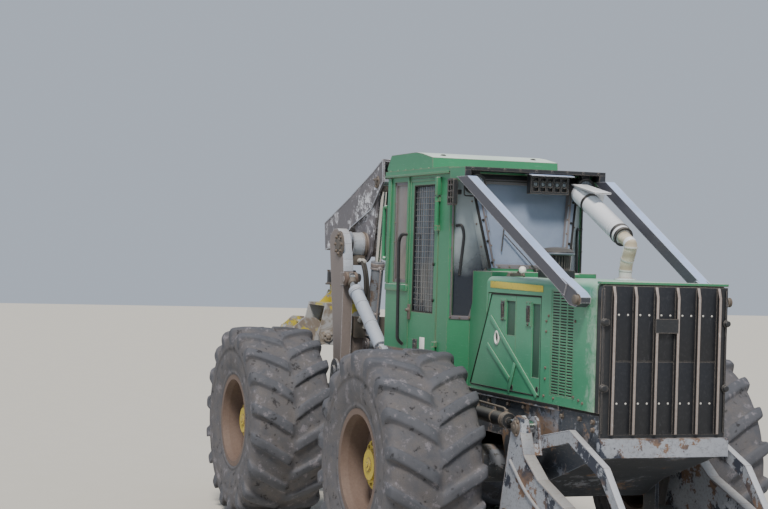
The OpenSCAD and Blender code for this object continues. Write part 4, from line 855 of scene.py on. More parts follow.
print("grille ready")

# Cab: door mesh, window frames, rails and hinge covers
cabLook = {
    "doorGlass": (-1360, -880, 2030, 3105), "rearGlass": (-1830, -1490, 2270, 3140), "meshPitch": 51, "wire": 1.9,
}


# The cab's side wall stands this far from the middle
cabSide = 606


# A guard of crossing wires in the XZ plane at y
def wireGuard(x0, x1, z0, z1, y, pitch, wire):
    wires = []
    columns, rows = round((x1 - x0) / pitch), round((z1 - z0) / pitch)
    for i in range(columns + 1):
        x = x0 + (x1 - x0) * i / columns
        wires.append(turned((x, y, z0), (x, y, z1), [(0, wire), (z1 - z0, wire)], 6))
    for i in range(rows + 1):
        z = z0 + (z1 - z0) * i / rows
        wires.append(turned((x0, y + wire, z), (x1, y + wire, z), [(0, wire), (x1 - x0, wire)], 6))
    return joinAll(wires)


def corners(x0, x1, z0, z1):
    return [(x0, z0), (x1, z0), (x1, z1), (x0, z1)]


# A frame of flat bars round an outline in the XZ plane
def flatFrame(outline, y, width, depth):
    return barsAlong(outline + outline[:1], y, depth, width)


for side, hand in hands:
    body = "door_" + hand
    x0, x1, z0, z1 = cabLook["doorGlass"]
    guard = wireGuard(x0 + 6, x1 - 6, z0 + 6, z1 - 6, side * 590, cabLook["meshPitch"], cabLook["wire"])
    finishPiece(guard, "door_mesh_" + hand, galvanisedWire, body=body)
    sash = flatFrame(corners(x0 + 4, x1 - 4, z0 + 4, z1 - 4), side * 594, 16, 10)
    finishPiece(sash, "door_sash_" + hand, rubberTrim, body=body, edge=2)
    # Raised edge frame of the door, its lock and hinge covers
    skin = flatFrame(corners(-1436, -808, 1560, 3148), side * 602, 26, 8)
    finishPiece(skin, "door_frame_" + hand, greenEnamel, body=body, edge=3)
    lock = [slab(side * 607, 7, (-1425, 1960), (-1375, 2090)),
            boss(side, -1400, 2040, 612, 640, [(0, 22), (6, 22), (8, 15), (26, 14)], 20)]
    finishPiece(lock, "door_lock_" + hand, castIron, body=body, edge=3)
    # Rear side window: brown sealed frame with bolts
    a0, a1, b0, b1 = cabLook["rearGlass"]
    rearFrame = flatFrame(corners(a0 + 14, a1 - 14, b0 + 14, b1 - 14), side * 590, 30, 8)
    finishPiece(rearFrame, "rear_window_frame_" + hand, bareFrame, edge=2)
    frameBolts = bolts(11, 6, [(x, side * 594, b0 + 14 + (b1 - b0 - 28) * k / 5)
                               for x in (a0 + 14, a1 - 14) for k in range(6)], (0, side, 0))
    finishPiece(frameBolts, "rear_window_bolts_" + hand, castIron)
    # Long grab rail beside the door, and a raised belt bar under the rear window
    rail = tube([(-1470, side * cabSide, 2690), (-1500, side * 650, 2690), (-1560, side * 655, 2640),
                 (-1535, side * 655, 1780), (-1535, side * cabSide, 1740)], 15, bend=55)
    finishPiece(rail, "grab_rail_" + hand, blackEnamel)
    belt = slab(side * cabSide, 10, (-1990, 2195), (-1460, 2255))
    finishPiece(belt, "belt_bar_" + hand, greenEnamel, edge=6)
    cornerPost = [bar((-1965, side * cabSide, 2260), (-1930, side * cabSide, 3180), 16, 74),
                  bar((-1478, side * cabSide, 2260), (-1478, side * cabSide, 3180), 16, 34)]
    finishPiece(cornerPost, "window_posts_" + hand, greenEnamel, edge=5)
    rearLoop = tube([(-1990, side * 604, 2930), (-2052, side * 612, 2930), (-2052, side * 612, 2470),
                     (-1990, side * 604, 2470)], 17, bend=50)
    finishPiece(rearLoop, "rear_loop_" + hand, greenEnamel)
    # Hinge covers above and below the door's knuckles
    cover = [bar((-772, side * 622, 3160), (-772, side * 622, 3010), 44, 44),
             bar((-772, side * 622, 1545), (-772, side * 622, 1450), 40, 40)]
    finishPiece(cover, "hinge_covers_" + hand, greenEnamel, edge=6)

# Windscreen and quarter frames: rust-brown flat bars with bolts along the posts
def wsX(z):
    return -295 - (z - 2430) * 105 / 560


frames = []
boltSpots = []
for side in (-1, 1):
    post = [(wsX(2432), side * 305, 2432), (wsX(3128), side * 410, 3128)]
    frames.append(bar(post[0], post[1], 46, 10))
    for k in range(6):
        t = (k + 0.5) / 6
        boltSpots.append((tuple(post[0][i] + (post[1][i] - post[0][i]) * t + (8, 0, 0)[i] for i in range(3)),
                          (1, 0, 0.2)))
frames.append(bar((wsX(2440) + 3, -300, 2440), (wsX(2440) + 3, 300, 2440), 10, 34))
frames.append(bar((wsX(3125) + 3, -400, 3125), (wsX(3125) + 3, 400, 3125), 10, 40))
boltSpots += [((wsX(2440) + 10, y, 2440), (1, 0, 0.2)) for y in range(-270, 271, 90)]
finishPiece(frames, "windscreen_frame", bareFrame, edge=2)
finishPiece(copyTo(boltModel(12, 7), boltSpots), "windscreen_bolts", castIron)

# Quarter windows: flat frame round each, in the slanting side wall, with a bent inner rail
def onQuarter(side, s, z, out):
    return (-560 + s * 0.7138 + out * 0.7003, side * (600 - s * 0.7003 + out * 0.7138), z)


quarterSpots = []
quarterFrames = []
for side in (-1, 1):
    outline = [(28, 2016), (200, 2016), (328, 2412), (150, 3142), (28, 3142)]
    for (sa, za), (sb, zb) in zip(outline, outline[1:] + outline[:1]):
        quarterFrames.append(bar(onQuarter(side, sa, za, 3), onQuarter(side, sb, zb, 3), 8, 30))
        steps = max(2, round(math.hypot(sb - sa, zb - za) / 190))
        for k in range(steps):
            s, z = sa + (sb - sa) * k / steps, za + (zb - za) * k / steps
            quarterSpots.append((onQuarter(side, s, z, 8), (0.7, side * 0.714, 0)))
    inner = tube([onQuarter(side, 52, 2760, -10), onQuarter(side, 105, 2770, -8), onQuarter(side, 130, 2690, -4),
                  onQuarter(side, 95, 2360, -8)], 12, bend=60)
    finishPiece(inner, "inner_rail_" + ("right" if side < 0 else "left"), blackEnamel)
finishPiece(quarterFrames, "quarter_frames", bareFrame, edge=2)
finishPiece(copyTo(boltModel(12, 7), quarterSpots), "quarter_bolts", castIron)

# Wiper, parked along the windscreen's foot
wiper = [
    turned((-292, 60, 2412), (-262, 60, 2412), [(0, 24), (12, 24), (14, 16), (30, 14)], 16),
    bar((-268, 60, 2412), (-338, -210, 2700), 12, 8), bar((-322, -240, 2560), (-372, -190, 2880), 8, 12),
]
finishPiece(wiper, "wiper", blackEnamel, edge=1.5)
print("cab openings ready")

# Lamps under the canopy: turned shells with bezels and lenses, slotted light bar with its visor, barred guards
for side, hand in hands:
    shell = turned((-375, side * 488, 3095), (-275, side * 488, 3095),
                   [(0, 30), (8, 52), (24, 70), (60, 80), (84, 84), (98, 84), (98, 76), (92, 74)], 36)
    hanger = tube([(-330, side * 400, 3100), (-330, side * 400, 3000), (-330, side * 576, 3000),
                   (-330, side * 576, 3100)], 6, bend=20)
    finishPiece([shell, hanger], "lamp_shell_" + hand, blackEnamel, edge=1)
    lens = turned((-290, side * 488, 3095), (-276, side * 488, 3095),
                  [(0, 75), (4, 74), (8, 58), (11, 36), (13, 14)], 36)
    finishPiece(lens, "lamp_lens_" + hand, lampLens)
    # Barred guard on the door post
    guardParts = flatFrame(corners(-478, -368, 2930, 3130), side * 640, 16, 40)
    guardParts += [bar((-478, side * 655, z), (-368, side * 655, z), 8, 10) for z in (2985, 3035, 3085)]
    guardParts += [bar((-423, side * 655, 2930), (-423, side * 655, 3130), 8, 10)]
    guardParts += [bar((-423, side * 570, 3030), (-423, side * 640, 3030), 50, 40)]
    finishPiece(guardParts, "lamp_guard_" + hand, blackEnamel, edge=2)

lampYs = range(3, 260, 64)
lightBar = [turned((-248, y, 3112), (-219, y, 3112), [(0, 30), (20, 30), (28, 29), (28, 25), (22, 23)], 28)
            for y in lampYs]
visor = sidePlate([(-300, 3204), (-165, 3184), (-160, 3176), (-300, 3190)], -60, 380)
finishPiece(lightBar, "light_bar_rings", blackEnamel, edge=1)
finishPiece(visor, "light_bar_visor", scuffedGrey, edge=2)
lenses = [turned((-240, y, 3112), (-222, y, 3112), [(0, 24), (8, 23), (14, 14), (17, 5)], 24) for y in lampYs]
finishPiece(lenses, "light_bar_lenses", lampLens)
print("lamps ready")

# Exhaust: rounded shells, clamps, wrapped elbow and steel outlet
exhaustY = 410
muffler = {"start": (-250, exhaustY, 3060), "end": (525, exhaustY, 2700)}
run = (Vector(muffler["end"]) - Vector(muffler["start"])).length
shell = turned(muffler["start"], muffler["end"],
               [(0, 40), (0.5, 66), (10, 77), (40, 78), (44, 80), (60, 80), (64, 78), (run - 90, 78), (run - 86, 80),
                (run - 70, 80), (run - 66, 78), (run - 14, 78), (run - 2, 74), (run, 66), (run, 56),
                (run - 22, 54)], 48)
finishPiece(shell, "muffler_shell", heatSteel, smooth=50)
endRing = turned((510, exhaustY, 2707), (531, exhaustY, 2697), [(0, 79), (24, 79), (24, 62), (6, 60)], 40)
finishPiece(endRing, "muffler_end", blackEnamel)
wrapPath = [(520, 2702), (600, 2668), (655, 2640), (640, 2590), (590, 2500), (576, 2440)]
wrap = tube(atY(exhaustY, wrapPath), 50, bend=70, sides=8)
finishPiece(wrap, "exhaust_wrap", exhaustWrap, smooth=60)
clampEnds = (((578, 2448), (575, 2424)), ((606, 2532), (600, 2520)), ((655, 2612), (656, 2624)))
clamps = [turned(*atY(exhaustY, ends), [(0, 53), (12, 54), (14, 53)], 32) for ends in clampEnds]
clamps.append(turned((575, exhaustY, 2377), (575, exhaustY, 2446), [(0, 60), (6, 60), (8, 50), (69, 50)], 32))
finishPiece(clamps, "exhaust_clamps", zincPlate)
straps = []
for t in (0.26, 0.93):
    c = Vector(muffler["start"]).lerp(Vector(muffler["end"]), t)
    way = (Vector(muffler["end"]) - Vector(muffler["start"])).normalized() * 16
    straps.append(turned(tuple(c - way), tuple(c + way), [(0, 82), (32, 82), (32, 79), (0.5, 79)], 40))
finishPiece(straps, "muffler_straps", blackEnamel)
shield = bar((-262, exhaustY, 3126), (168, exhaustY, 3048), 150, 5)
editAll(bpy.ops.mesh.subdivide, number_cuts=3)
finishPiece(shield, "muffler_shield", heatSteel, edge=2)

# Air cleaner cap with its rolled edge, screen and clamp
airAxis = (411, -100)
cap = turned((*airAxis, 2545), (*airAxis, 2612),
             [(0, 118), (2, 134), (8, 139), (14, 138), (26, 124), (44, 104), (56, 70), (61, 30), (62, 4)], 48)
finishPiece(cap, "air_cap", capGrey, smooth=55)
screen = [bar((x, y, 2430), (x, y, 2548), 6, 6) for x, y, _ in ringOf((*airAxis, 0), 92, evenly(24), 2)]
screen.append(turned((*airAxis, 2424), (*airAxis, 2440), [(0, 100), (12, 100), (14, 94), (15, 86)], 36))
finishPiece(screen, "air_screen", blackEnamel, edge=0.8)
print("exhaust and air cleaner ready")

# Hood's slotted screens: a black sheet behind thin bars, painted shade in the slots, three slots across and 21 mm apart
screenLook = {"low": (1167, 1530), "high": (1547, 2290), "pitch": 21.1, "barHeight": 11.5,
              "posts": [(1167, 24), (1299, 19), (1416, 19), (1523, 24)]}
for side, hand in hands:
    (xLow, zLow), (xHigh, zHigh) = screenLook["low"], screenLook["high"]
    slotShade = slab(side * 493, 1.5, (xLow + 2, zLow + 2), (xHigh - 2, zHigh - 2))
    finishPiece(slotShade, "hood_slot_shade_" + hand, rubberTrim, edge=0.5)
    bars = []
    rows = round((zHigh - zLow) / screenLook["pitch"])
    for row in range(rows + 1):
        z = zLow + (zHigh - zLow - screenLook["barHeight"]) * row / rows
        bars.append(slab(side * 496, 2, (xLow + 1, z), (xHigh - 1, z + screenLook["barHeight"])))
    for x, width in screenLook["posts"]:
        bars.append(block((x - 1 + 2 * (x == 1167), side * 496.5 - 2, zLow), (x + width - 2, side * 496.5 + 2, zHigh)))
    finishPiece(bars, "hood_screen_" + hand, hoodEnamel, edge=0.8)

# Grille bars' worn faces: a strip on each bar's front, bent back at its top
faces = []
for y in range(-413, 413, 165):
    faces.append(bar((1980.5, y, 1322), (1980.5, y, 2268), 19, 5))
    faces.append(bar((1980, y, 2266), (1957, y, 2338), 20, 6))
finishPiece(faces, "grille_bar_faces", rubbedBar, edge=1.2)
sheets = [block((1949, y - 68, z0), (1952, y + 68, z1))
          for y in range(-331, 330, 165) for z0, z1 in ((1318, 1822), (1828, 2342))]
finishPiece(sheets, "grille_sheets", grilleSheet, edge=1)


# A point beside a cylinder's axis, t along it from the base and up from it
def besideAxis(base, eye, y, t, up=0):
    run = Vector((eye[0] - base[0], 0, eye[1] - base[1])).normalized()
    return tuple(Vector((base[0], y, base[1])) + run * t + Vector((-run.z, 0, run.x)) * up)


# Gland, weld bead, ports, clamp and steel pipe of a cylinder's barrel
def dressBarrel(base, eye, y, look, up):
    radius, rodRadius, length = look["radius"], look["rod"], look["length"]

    def along(t, lift=0):
        return besideAxis(base, eye, y, t, lift)

    parts = [turned(along(length - 74), along(length - 2),
                    [(0, radius + 2), (1, radius + 9), (16, radius + 9), (18, radius + 6), (24, radius + 6),
                     (26, radius + 9), (58, radius + 9), (61, radius + 4), (68, radius - 6), (72, rodRadius + 4)], 36)]
    parts.append(turned(along(look["foot"]), along(look["foot"] + 14),
                        [(0, radius - 8), (4, radius + 3), (10, radius + 3), (14, radius - 2)], 36))
    for t in look.get("clamps", (0.42, 0.74)):
        parts.append(turned(along(length * t), along(length * t + 26),
                            [(0, radius + 0.5), (1, radius + 4), (25, radius + 4), (26, radius + 0.5)], 36))
        parts.append(turned(along(length * t + 13, up * (radius + 2)), along(length * t + 13, up * (radius + 34)),
                            [(0, 13), (22, 13), (22, 9), (30, 9)], 6))
    first, last = look["foot"] + 40, length - 56
    for t in (first, last):
        parts.append(turned(along(t, up * (radius - 4)), along(t, up * (radius + 30)),
                            [(0, 19), (14, 19), (16, 15), (34, 15)], 20))
    parts.append(tube([along(last, up * (radius + 12)), along(last - 30, up * (radius + 34)),
                       along(first + 70, up * (radius + 34)), along(first, up * (radius + 24))], 9, bend=30))
    return parts


cylinderLook = {
    "arch": {"base": (-2300, 1620), "eye": (-3258, 2265), "ys": (-490, 490), "radius": 62, "rod": 32, "length": 970,
             "foot": 80, "up": 1},
    "boom": {"base": (-3360, 1640), "eye": (-3100, 3195), "ys": (-225, 225), "radius": 60, "rod": 32, "length": 806,
             "foot": 80, "up": -1, "clamps": (0.2, 0.36)},
    "blade": {"base": (-250, 1325), "eye": (1105, 1290), "ys": (-620, 620), "radius": 52, "rod": 26, "length": 1000,
              "foot": 75, "up": 1},
}
barrelFinish = {"arch": silverPaint, "boom": archPaint, "blade": castIron}
for group, look in cylinderLook.items():
    parts = []
    for y in look["ys"]:
        parts += dressBarrel(look["base"], look["eye"], y, look, look["up"])
    finishPiece(parts, group + "_barrel_fittings", barrelFinish[group], body=group + "_barrels", edge=0.6)
    # Weld collar of the rod's eye
    parts = []
    span = math.hypot(look["eye"][0] - look["base"][0], look["eye"][1] - look["base"][1])
    for y in look["ys"]:
        ends = [besideAxis(look["base"], look["eye"], y, span - t) for t in (88, 34)]
        parts.append(turned(*ends, [(0, look["rod"] + 1), (3, look["rod"] + 7), (26, look["rod"] + 12),
                                    (54, look["rod"] + 15)], 32))
    finishPiece(parts, group + "_rod_collars", castIron, body=group + "_rods", edge=0.8)
print("cylinders ready")

# Arch: edge strips of rubbed steel made bright as painted highlight, pivot caps, eye bosses, the polished cross tube
# and the clamp plates
archX, archLeg = -3450, 490
archEye = cylinderLook["arch"]["eye"]
boomPin = (archX, 2595)
edgePath = [(archX + 123, 2335), (archX + 105, 2450), (archX + 60, 2600), (archX, 2700), (archX - 90, 2745),
            (archX - 190, 2740)]
for side, hand in hands:
    strips = barsAlong(edgePath, side * archLeg, 100, 5)
    finishPiece(strips, "arch_edge_" + hand, rubbedEdgeHighlight, body="arch", edge=1.5)
    caps = [boss(side, archX, 1380, 538, 566, [(0, 96), (8, 96), (10, 84), (20, 80), (20, 50), (28, 46)], 32),
            boss(side, *boomPin, 538, 562, [(0, 128), (6, 128), (8, 118), (14, 114), (14, 60), (22, 54)], 40)]
    ring = bolts(24, 16, ringOf((archX, side * 552, boomPin[1]), 92, evenly(8), 1), (0, side, 0))
    finishPiece(caps + [ring], "arch_pivot_caps_" + hand, castIron, body="arch", edge=1)
    sleeve = boss(side, *boomPin, 322, 440,
                  [(0, 116), (1, 121), (14, 121), (16, 117), (104, 117), (108, 124), (118, 128)], 44)
    finishPiece(sleeve, "arch_tube_sleeve_" + hand, polishedSteel, body="arch", edge=0.5)
    knuckle = [boss(side, *archEye, archLeg + out, archLeg + out + step,
                    [(0, 62), (5, 66), (26, 66), (30, 60), (34, 40), (38, 36)], 32)
               for out, step in ((30, 36), (-30, -36))]
    finishPiece(knuckle, "arch_eye_bosses_" + hand, rustBoss, body="arch", edge=1)
    # Clips for the hoses on the inside of the leg
    clips = [bar((archX + 20, side * 442, z), (archX + 20, side * 424, z), 70, 34) for z in (1800, 2050, 2300)]
    finishPiece(clips, "arch_hose_clips_" + hand, zincPlate, body="arch", edge=2)

# Boom: top and lower edge strips of rubbed steel made bright as painted highlight, pins with keeper bolts, weld seams
# and nose bosses
boomEye = cylinderLook["boom"]["eye"]
boomTop = [(-1200, 220), (-380, 490), (260, 720), (480, 815)]
boomLow = [(500, 600), (200, 340), (-370, 170), (-570, 70), (-780, -10), (-1160, -60)]
for side, hand in hands:
    edges = []
    for path, drop in ((boomTop, -5), (boomLow, 5)):
        edges += barsAlong([(boomPin[0] + x, boomPin[1] + z + drop) for x, z in path], side * 301, 5, 12)
    edges.append(bar((boomPin[0] + 476, side * 301, boomPin[1] + 806), (boomPin[0] + 494, side * 301, boomPin[1] + 608),
                     5, 14))
    finishPiece(edges, "boom_edges_" + hand, rubbedEdgeHighlight, body="boom", edge=1)
    bosses = []
    for (x, z), radius, out in ((boomEye, 66, 296), (boomPin, 126, 301)):
        bosses.append(boss(side, x, z, out - 2, out + 24,
                           [(0, radius), (5, radius), (7, radius - 10), (16, radius - 14), (16, radius * 0.5),
                            (26, radius * 0.44)], 36))
    heads = bolts(19, 13, ringOf((boomEye[0], side * 312, boomEye[1]), 44, (0.5, 2.6, 4.7), 1), (0, side, 0))
    finishPiece(bosses + [heads], "boom_bosses_" + hand, castIron, body="boom", edge=1)
seams = [boss(side, -4890, 2580, 60, 82, [(0, 58), (6, 58), (8, 50), (20, 46)], 28) for side in (-1, 1)]
finishPiece(seams, "boom_tip_caps", castIron, body="boom", edge=1)
print("arch and boom ready")


# A hose in the shape of one smooth cubic between two fittings
def hose(name, body, points, diameter):
    count = 26
    a, b, c, d = (spot(*p) for p in points)
    path = []
    for step in range(count):
        t = step / (count - 1)
        path.append(a * (1 - t) ** 3 + b * 3 * t * (1 - t) ** 2 + c * 3 * t * t * (1 - t) + d * t ** 3)
    piece = roundCurve(name, path, diameter / 2000, 3)
    piece.data.materials.append(braidedHose)
    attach(piece, body)
    return piece


# Crimped fitting at a hose's end
def ferrule(place, way, radius):
    end = tuple(Vector(place) + Vector(way).normalized() * 62)
    return turned(place, end, [(0, radius + 8), (14, radius + 8), (14, radius + 3), (20, radius + 5), (48, radius + 5),
                               (62, radius + 2)], 16)


hoseRuns = {
    # name: four control points, diameter
    "arch_hose_outer_right": ([(-3380, -360, 2440), (-3200, -360, 2440), (-3150, -340, 2080), (-3384, -340, 1860)], 32),
    "arch_hose_inner_right": ([(-3380, -326, 2440), (-3250, -326, 2420), (-3220, -286, 2040), (-3384, -286, 1790)], 32),
    "arch_hose_outer_left": ([(-3380, 360, 2440), (-3200, 360, 2440), (-3150, 340, 2080), (-3384, 340, 1860)], 32),
}
ends = []
for name, (points, diameter) in hoseRuns.items():
    hose(name, "arch", points, diameter)
    for place, far in ((points[0], points[1]), (points[3], points[2])):
        ends.append(ferrule(place, Vector(far) - Vector(place), diameter / 2))
finishPiece(ends, "arch_hose_ends", zincPlate, body="arch", edge=0.8)
manifold = [slab(side * 370, 66, (-3425, 2396), (-3378, 2494)) for side in (-1, 1)]
manifold.append(block((-3440, -400, 1695), (-3380, 400, 1900)))
finishPiece(manifold, "arch_manifolds", castIron, body="arch", edge=5)
print("hoses ready")

# Panes lapped over the cab's front posts, the header over the windscreen, and the canopy's black skin; black plates on
# the header and under the canopy are painted shade
covers = []
for side in (-1, 1):
    covers.append(plateFrom([(wsX(z) + 1, side * y, z)
                             for y, z in ((285, 2425), (346, 2425), (474, 3140), (415, 3140))], (7, 0, 0)))
    covers.append(plateFrom([onQuarter(side, s, z, 1) for s, z in ((306, 2412), (378, 2412), (192, 3142), (132, 3142))],
                            (5, side * 5, 0)))
finishPiece(covers, "front_post_panes", cabWindow, edge=2)
# Dark seal down the corner between the panes, with its bolts
seals = []
for side in (-1, 1):
    seals.append(tube([(wsX(2425) + 5, side * 349, 2425), (wsX(2782) + 5, side * 413, 2782),
                       (wsX(3140) + 5, side * 477, 3140)], 11, bend=20, sides=3))
    seals.append(copyTo(boltModel(16, 9), [((wsX(z) + 12, side * (325 + 128 * (z - 2425) / 715), z), (1, 0, 0))
                                           for z in (2470, 2640, 2810, 2980)]))
finishPiece(seals, "front_post_seals", rubberTrim)
# Black plate on the windscreen's header: painted shade under the canopy
headerShade = plateFrom([(wsX(z) + 2, y, z) for y, z in ((-470, 3125), (470, 3125), (478, 3184), (-478, 3184))], (8, 0, 0))
# The canopy's black front edge, its studs, and a black sheet under the canopy that is painted shade
canopySkinAndShade = [block((-217, -624, 3202), (-210, 624, 3230)), block((-545, -618, 3200), (-214, 618, 3204.6))]
canopySkinAndShade += [turned((-213, y, 3216), (-204, y, 3216), [(0, 9), (5, 9), (7, 6)], 6) for y in range(-560, 561, 140)]
# Dark faces of the brackets that hold the risers
for side in (-1, 1):
    canopySkinAndShade.append(slab(side * 597, 27, (-217, 3148), (-210, 3203)))
    canopySkinAndShade.append(slab(side * 571, 1.5, (-345, 3150), (-214, 3202)))
finishPiece([headerShade] + canopySkinAndShade, "canopy_skin_and_shade", blackEnamel, edge=1.5)

# Roof: bolts along the cap's foot, a rain lip and the plugs of its lifting eyes
capBolts = bolts(17, 9, [(x, side * 596, 3241) for side in (-1, 1) for x in range(-1960, -1050, 180)], (0, 0, 1))
rainLip = [bar((-2018, side * 624, 3196), (-548, side * 624, 3196), 6, 18) for side in (-1, 1)]
rainLip.append(bar((-2022, -620, 3196), (-2022, 620, 3196), 6, 18))
finishPiece([capBolts] + rainLip, "roof_trim", greenEnamel, edge=1.5)
plugs = [turned((x, y, top - 8), (x, y, top + 6), [(0, 26), (8, 26), (10, 18), (14, 16)], 20)
         for x, top in ((-1180, 3366), (-1900, 3389)) for y in (-420, 420)]
finishPiece(plugs, "roof_lifting_plugs", rubberTrim, edge=1)

# Dark panes in the doors, brown ones behind them, and the sun visor behind the windscreen
for side, hand in hands:
    pane = [slab(side * y, 1, (-1362, 2028), (-878, 3107)) for y in (587, 573)]
    finishPiece(pane, "door_pane_" + hand, doorPane, body="door_" + hand, edge=0.6)
    pane = [slab(side * 587, 1, (-1829, 2271), (-1491, 3139))]
    finishPiece(pane, "rear_side_pane_" + hand, brownPane, edge=0.6)
visor = plateFrom([(-455, -120, 3105), (-455, 240, 3105), (-425, 220, 2960), (-425, -80, 2960)], (-8, 0, 0))
finishPiece(visor, "sun_visor", blackEnamel, edge=3)

# Door furniture: blank label, recessed latch and screws
for side, hand in hands:
    label = slab(side * 600, 1.2, (-1150, 1672), (-1040, 1822))
    finishPiece(label, "door_label_" + hand, whiteVinyl, body="door_" + hand, edge=0.8)
    latch = [slab(side * 601, 4, (-1300, 1690), (-1206, 1800)),
             bar((-1278, side * 608, 1745), (-1226, side * 608, 1745), 12, 34)]
    screws = bolts(9, 5, [(x, side * 605, z) for x in (-1288, -1218) for z in (1702, 1788)], (0, side, 0))
    finishPiece(latch + [screws], "door_latch_" + hand, blackEnamel, body="door_" + hand, edge=2)
    stops = [boss(side, -872, z, 598, 612, [(0, 9), (3, 14), (11, 14), (14, 10)], 14) for z in (2140, 2440, 2760, 3040)]
    finishPiece(stops, "door_glass_clips_" + hand, rubberTrim, body="door_" + hand)
    # Painted shade in the sunk handles' pockets
    pocketShade = [slab(side * 487, 1, (376, 1926), (532, 2182)), slab(side * 487, 1, (842, 1636), (973, 2175))]
    finishPiece(pocketShade, "panel_pocket_shade_" + hand, pocketShadeGreen, edge=0.6)
    # Frame side: bolts, and the lip with its packed dirt
    boltSpots = ((-180, 1392), (60, 1392), (420, 1400), (700, 1400), (1340, 1392), (1620, 1400), (1820, 1396),
                 (1820, 1340))
    frameBolts = bolts(30, 20, atY(side * 470, boltSpots), (0, side, 0))
    finishPiece(frameBolts, "frame_bolts_" + hand, castIron)
    lip = [bar((-300, side * 501, 1455), (1318, side * 501, 1455), 5, 22),
           bar((1320, side * 473, 1455), (1900, side * 473, 1455), 8, 22)]
    finishPiece(lip, "frame_lip_" + hand, rubberTrim, edge=1.5)
    crumbs = []
    for k in range(60):
        x = -290 + k * 36.3 + 11 * math.sin(k * 12.9)
        y = 484 if x < 1310 else 470
        size = 9 + 7 * abs(math.sin(k * 7.7))
        start = (x, side * (y + 5 * math.sin(k * 3.1)), 1468)
        end = (x + size * 1.8, side * (y + 6 * math.sin(k * 5.3)), 1469 + size * 0.3)
        crumbs.append(bar(start, end, size, size * 0.7, roll=k * 31))
    finishPiece(crumbs, "frame_debris_" + hand, barkDebris, edge=1.5)
    # Tank straps and cap; step treads
    tank = [bar((x, side * 703, 1002), (x, side * 703, 1398), 36, 5) for x in (-1270, -990)]
    tank.append(boss(side, -1130, 1350, 698, 738, [(0, 52), (8, 52), (10, 44), (34, 42), (40, 36)], 24))
    finishPiece(tank, "tank_fittings_" + hand, chassisPaint, edge=1.5)
    treads = [bar((x, side * 575, z), (x, side * 745, z), 9, 9) for z in (554, 794) for x in range(-1285, -965, 32)]
    finishPiece(treads, "step_treads_" + hand, wornSteel, edge=1.5)
print("cab and frame trim ready")

# Rear window guard: horizontal wires, bolts; rear window frame
wires = [tube([(-2078, -495, z), (-2078, 495, z)], 4, bend=0, sides=2) for z in range(2330, 3120, 66)]
guardBolts = bolts(19, 10, [(-2090, y, z) for y in (-480, 480) for z in (2275, 2560, 2840, 3125)], (-1, 0, 0))
finishPiece(wires + [guardBolts], "rear_guard_wires", blackEnamel)
rearBars = [bar((-2004, -452, z), (-2004, 452, z), 8, 30) for z in (2290, 3132)]
rearBars += [plateFrom([(-2000, y - 15, 2290), (-2000, y + 15, 2290), (-2000, y + 15, 3132), (-2000, y - 15, 3132)],
                       (-8, 0, 0)) for y in (-452, 452)]
finishPiece(rearBars, "rear_window_frame", bareFrame, edge=2)

# Blade arms: lever caps, doubler strips along the lever and the brace
bladeEye = cylinderLook["blade"]["eye"]
leverSide = 727
for side, hand in hands:
    strips = barsAlong([(1196, 1262), (1262, 1104), (1500, 954), (1920, 819), (2410, 648)], side * 690, 92, 12)
    strips += barsAlong([(990, 1160), (908, 850), (852, 640)], side * 690, 74, 10)
    weld = tube(atY(side * leverSide, [(1020, 1040), (1300, 840), (1800, 640), (2350, 480)]), 14, bend=160)
    finishPiece(strips + [weld], "lever_strips_" + hand, scrapedEdge, body="blade", edge=3)
    caps = [boss(side, *bladeEye, 722, 752, [(0, 66), (6, 66), (9, 50), (24, 46), (24, 20), (30, 16)], 32),
            boss(side, 950, 600, 724, 758, [(0, 84), (8, 84), (10, 70), (24, 64), (24, 30), (34, 26)], 32)]
    heads = bolts(22, 13, ringOf((bladeEye[0], side * leverSide, bladeEye[1]), 56, (0.8, 2.9, 5.0), 1), (0, side, 0))
    finishPiece(caps + [heads], "lever_caps_" + hand, castIron, body="blade", edge=1)
    # Edge strips of rubbed steel along the brace, made bright as painted highlight
    braceEdges = barsAlong([(1165, 1232), (1650, 1322), (2180, 1122), (2436, 852)], side * 547, 50, 7)
    finishPiece(braceEdges, "brace_edges_" + hand, rubbedEdgeHighlight, body="blade", edge=2)
# Blade: cutting edge with its bolts, end bits and top guard
bladeHalf = 1298
edgePlate = plateFrom([(2552, -bladeHalf, 22), (2552, bladeHalf, 22), (2458, bladeHalf, 168),
                       (2458, -bladeHalf, 168)], (8, 0, 5))
edgeBolts = bolts(30, 12, [(2523, y, 84) for y in range(-1200, 1201, 200)], (0.84, 0, 0.54))
endBits = [plateFrom([(2552, y, 22), (2552, y + 160, 22), (2440, y + 160, 196), (2440, y, 196)], (14, 0, 8))
           for y in (-bladeHalf, bladeHalf - 160)]
finishPiece([edgePlate, edgeBolts] + endBits, "blade_edge", wornSteel, body="blade", edge=1.5)
topBar = [bar((2470, -1296, 770), (2470, 1296, 770), 40, 12)]
topBar += [bar((2396, y, 430), (2430, y, 764), 12, 60) for y in (-1200, -800, -400, 0, 400, 800, 1200)]
finishPiece(topBar, "blade_ribs", wornSteel, body="blade", edge=3)
print("blade ready")


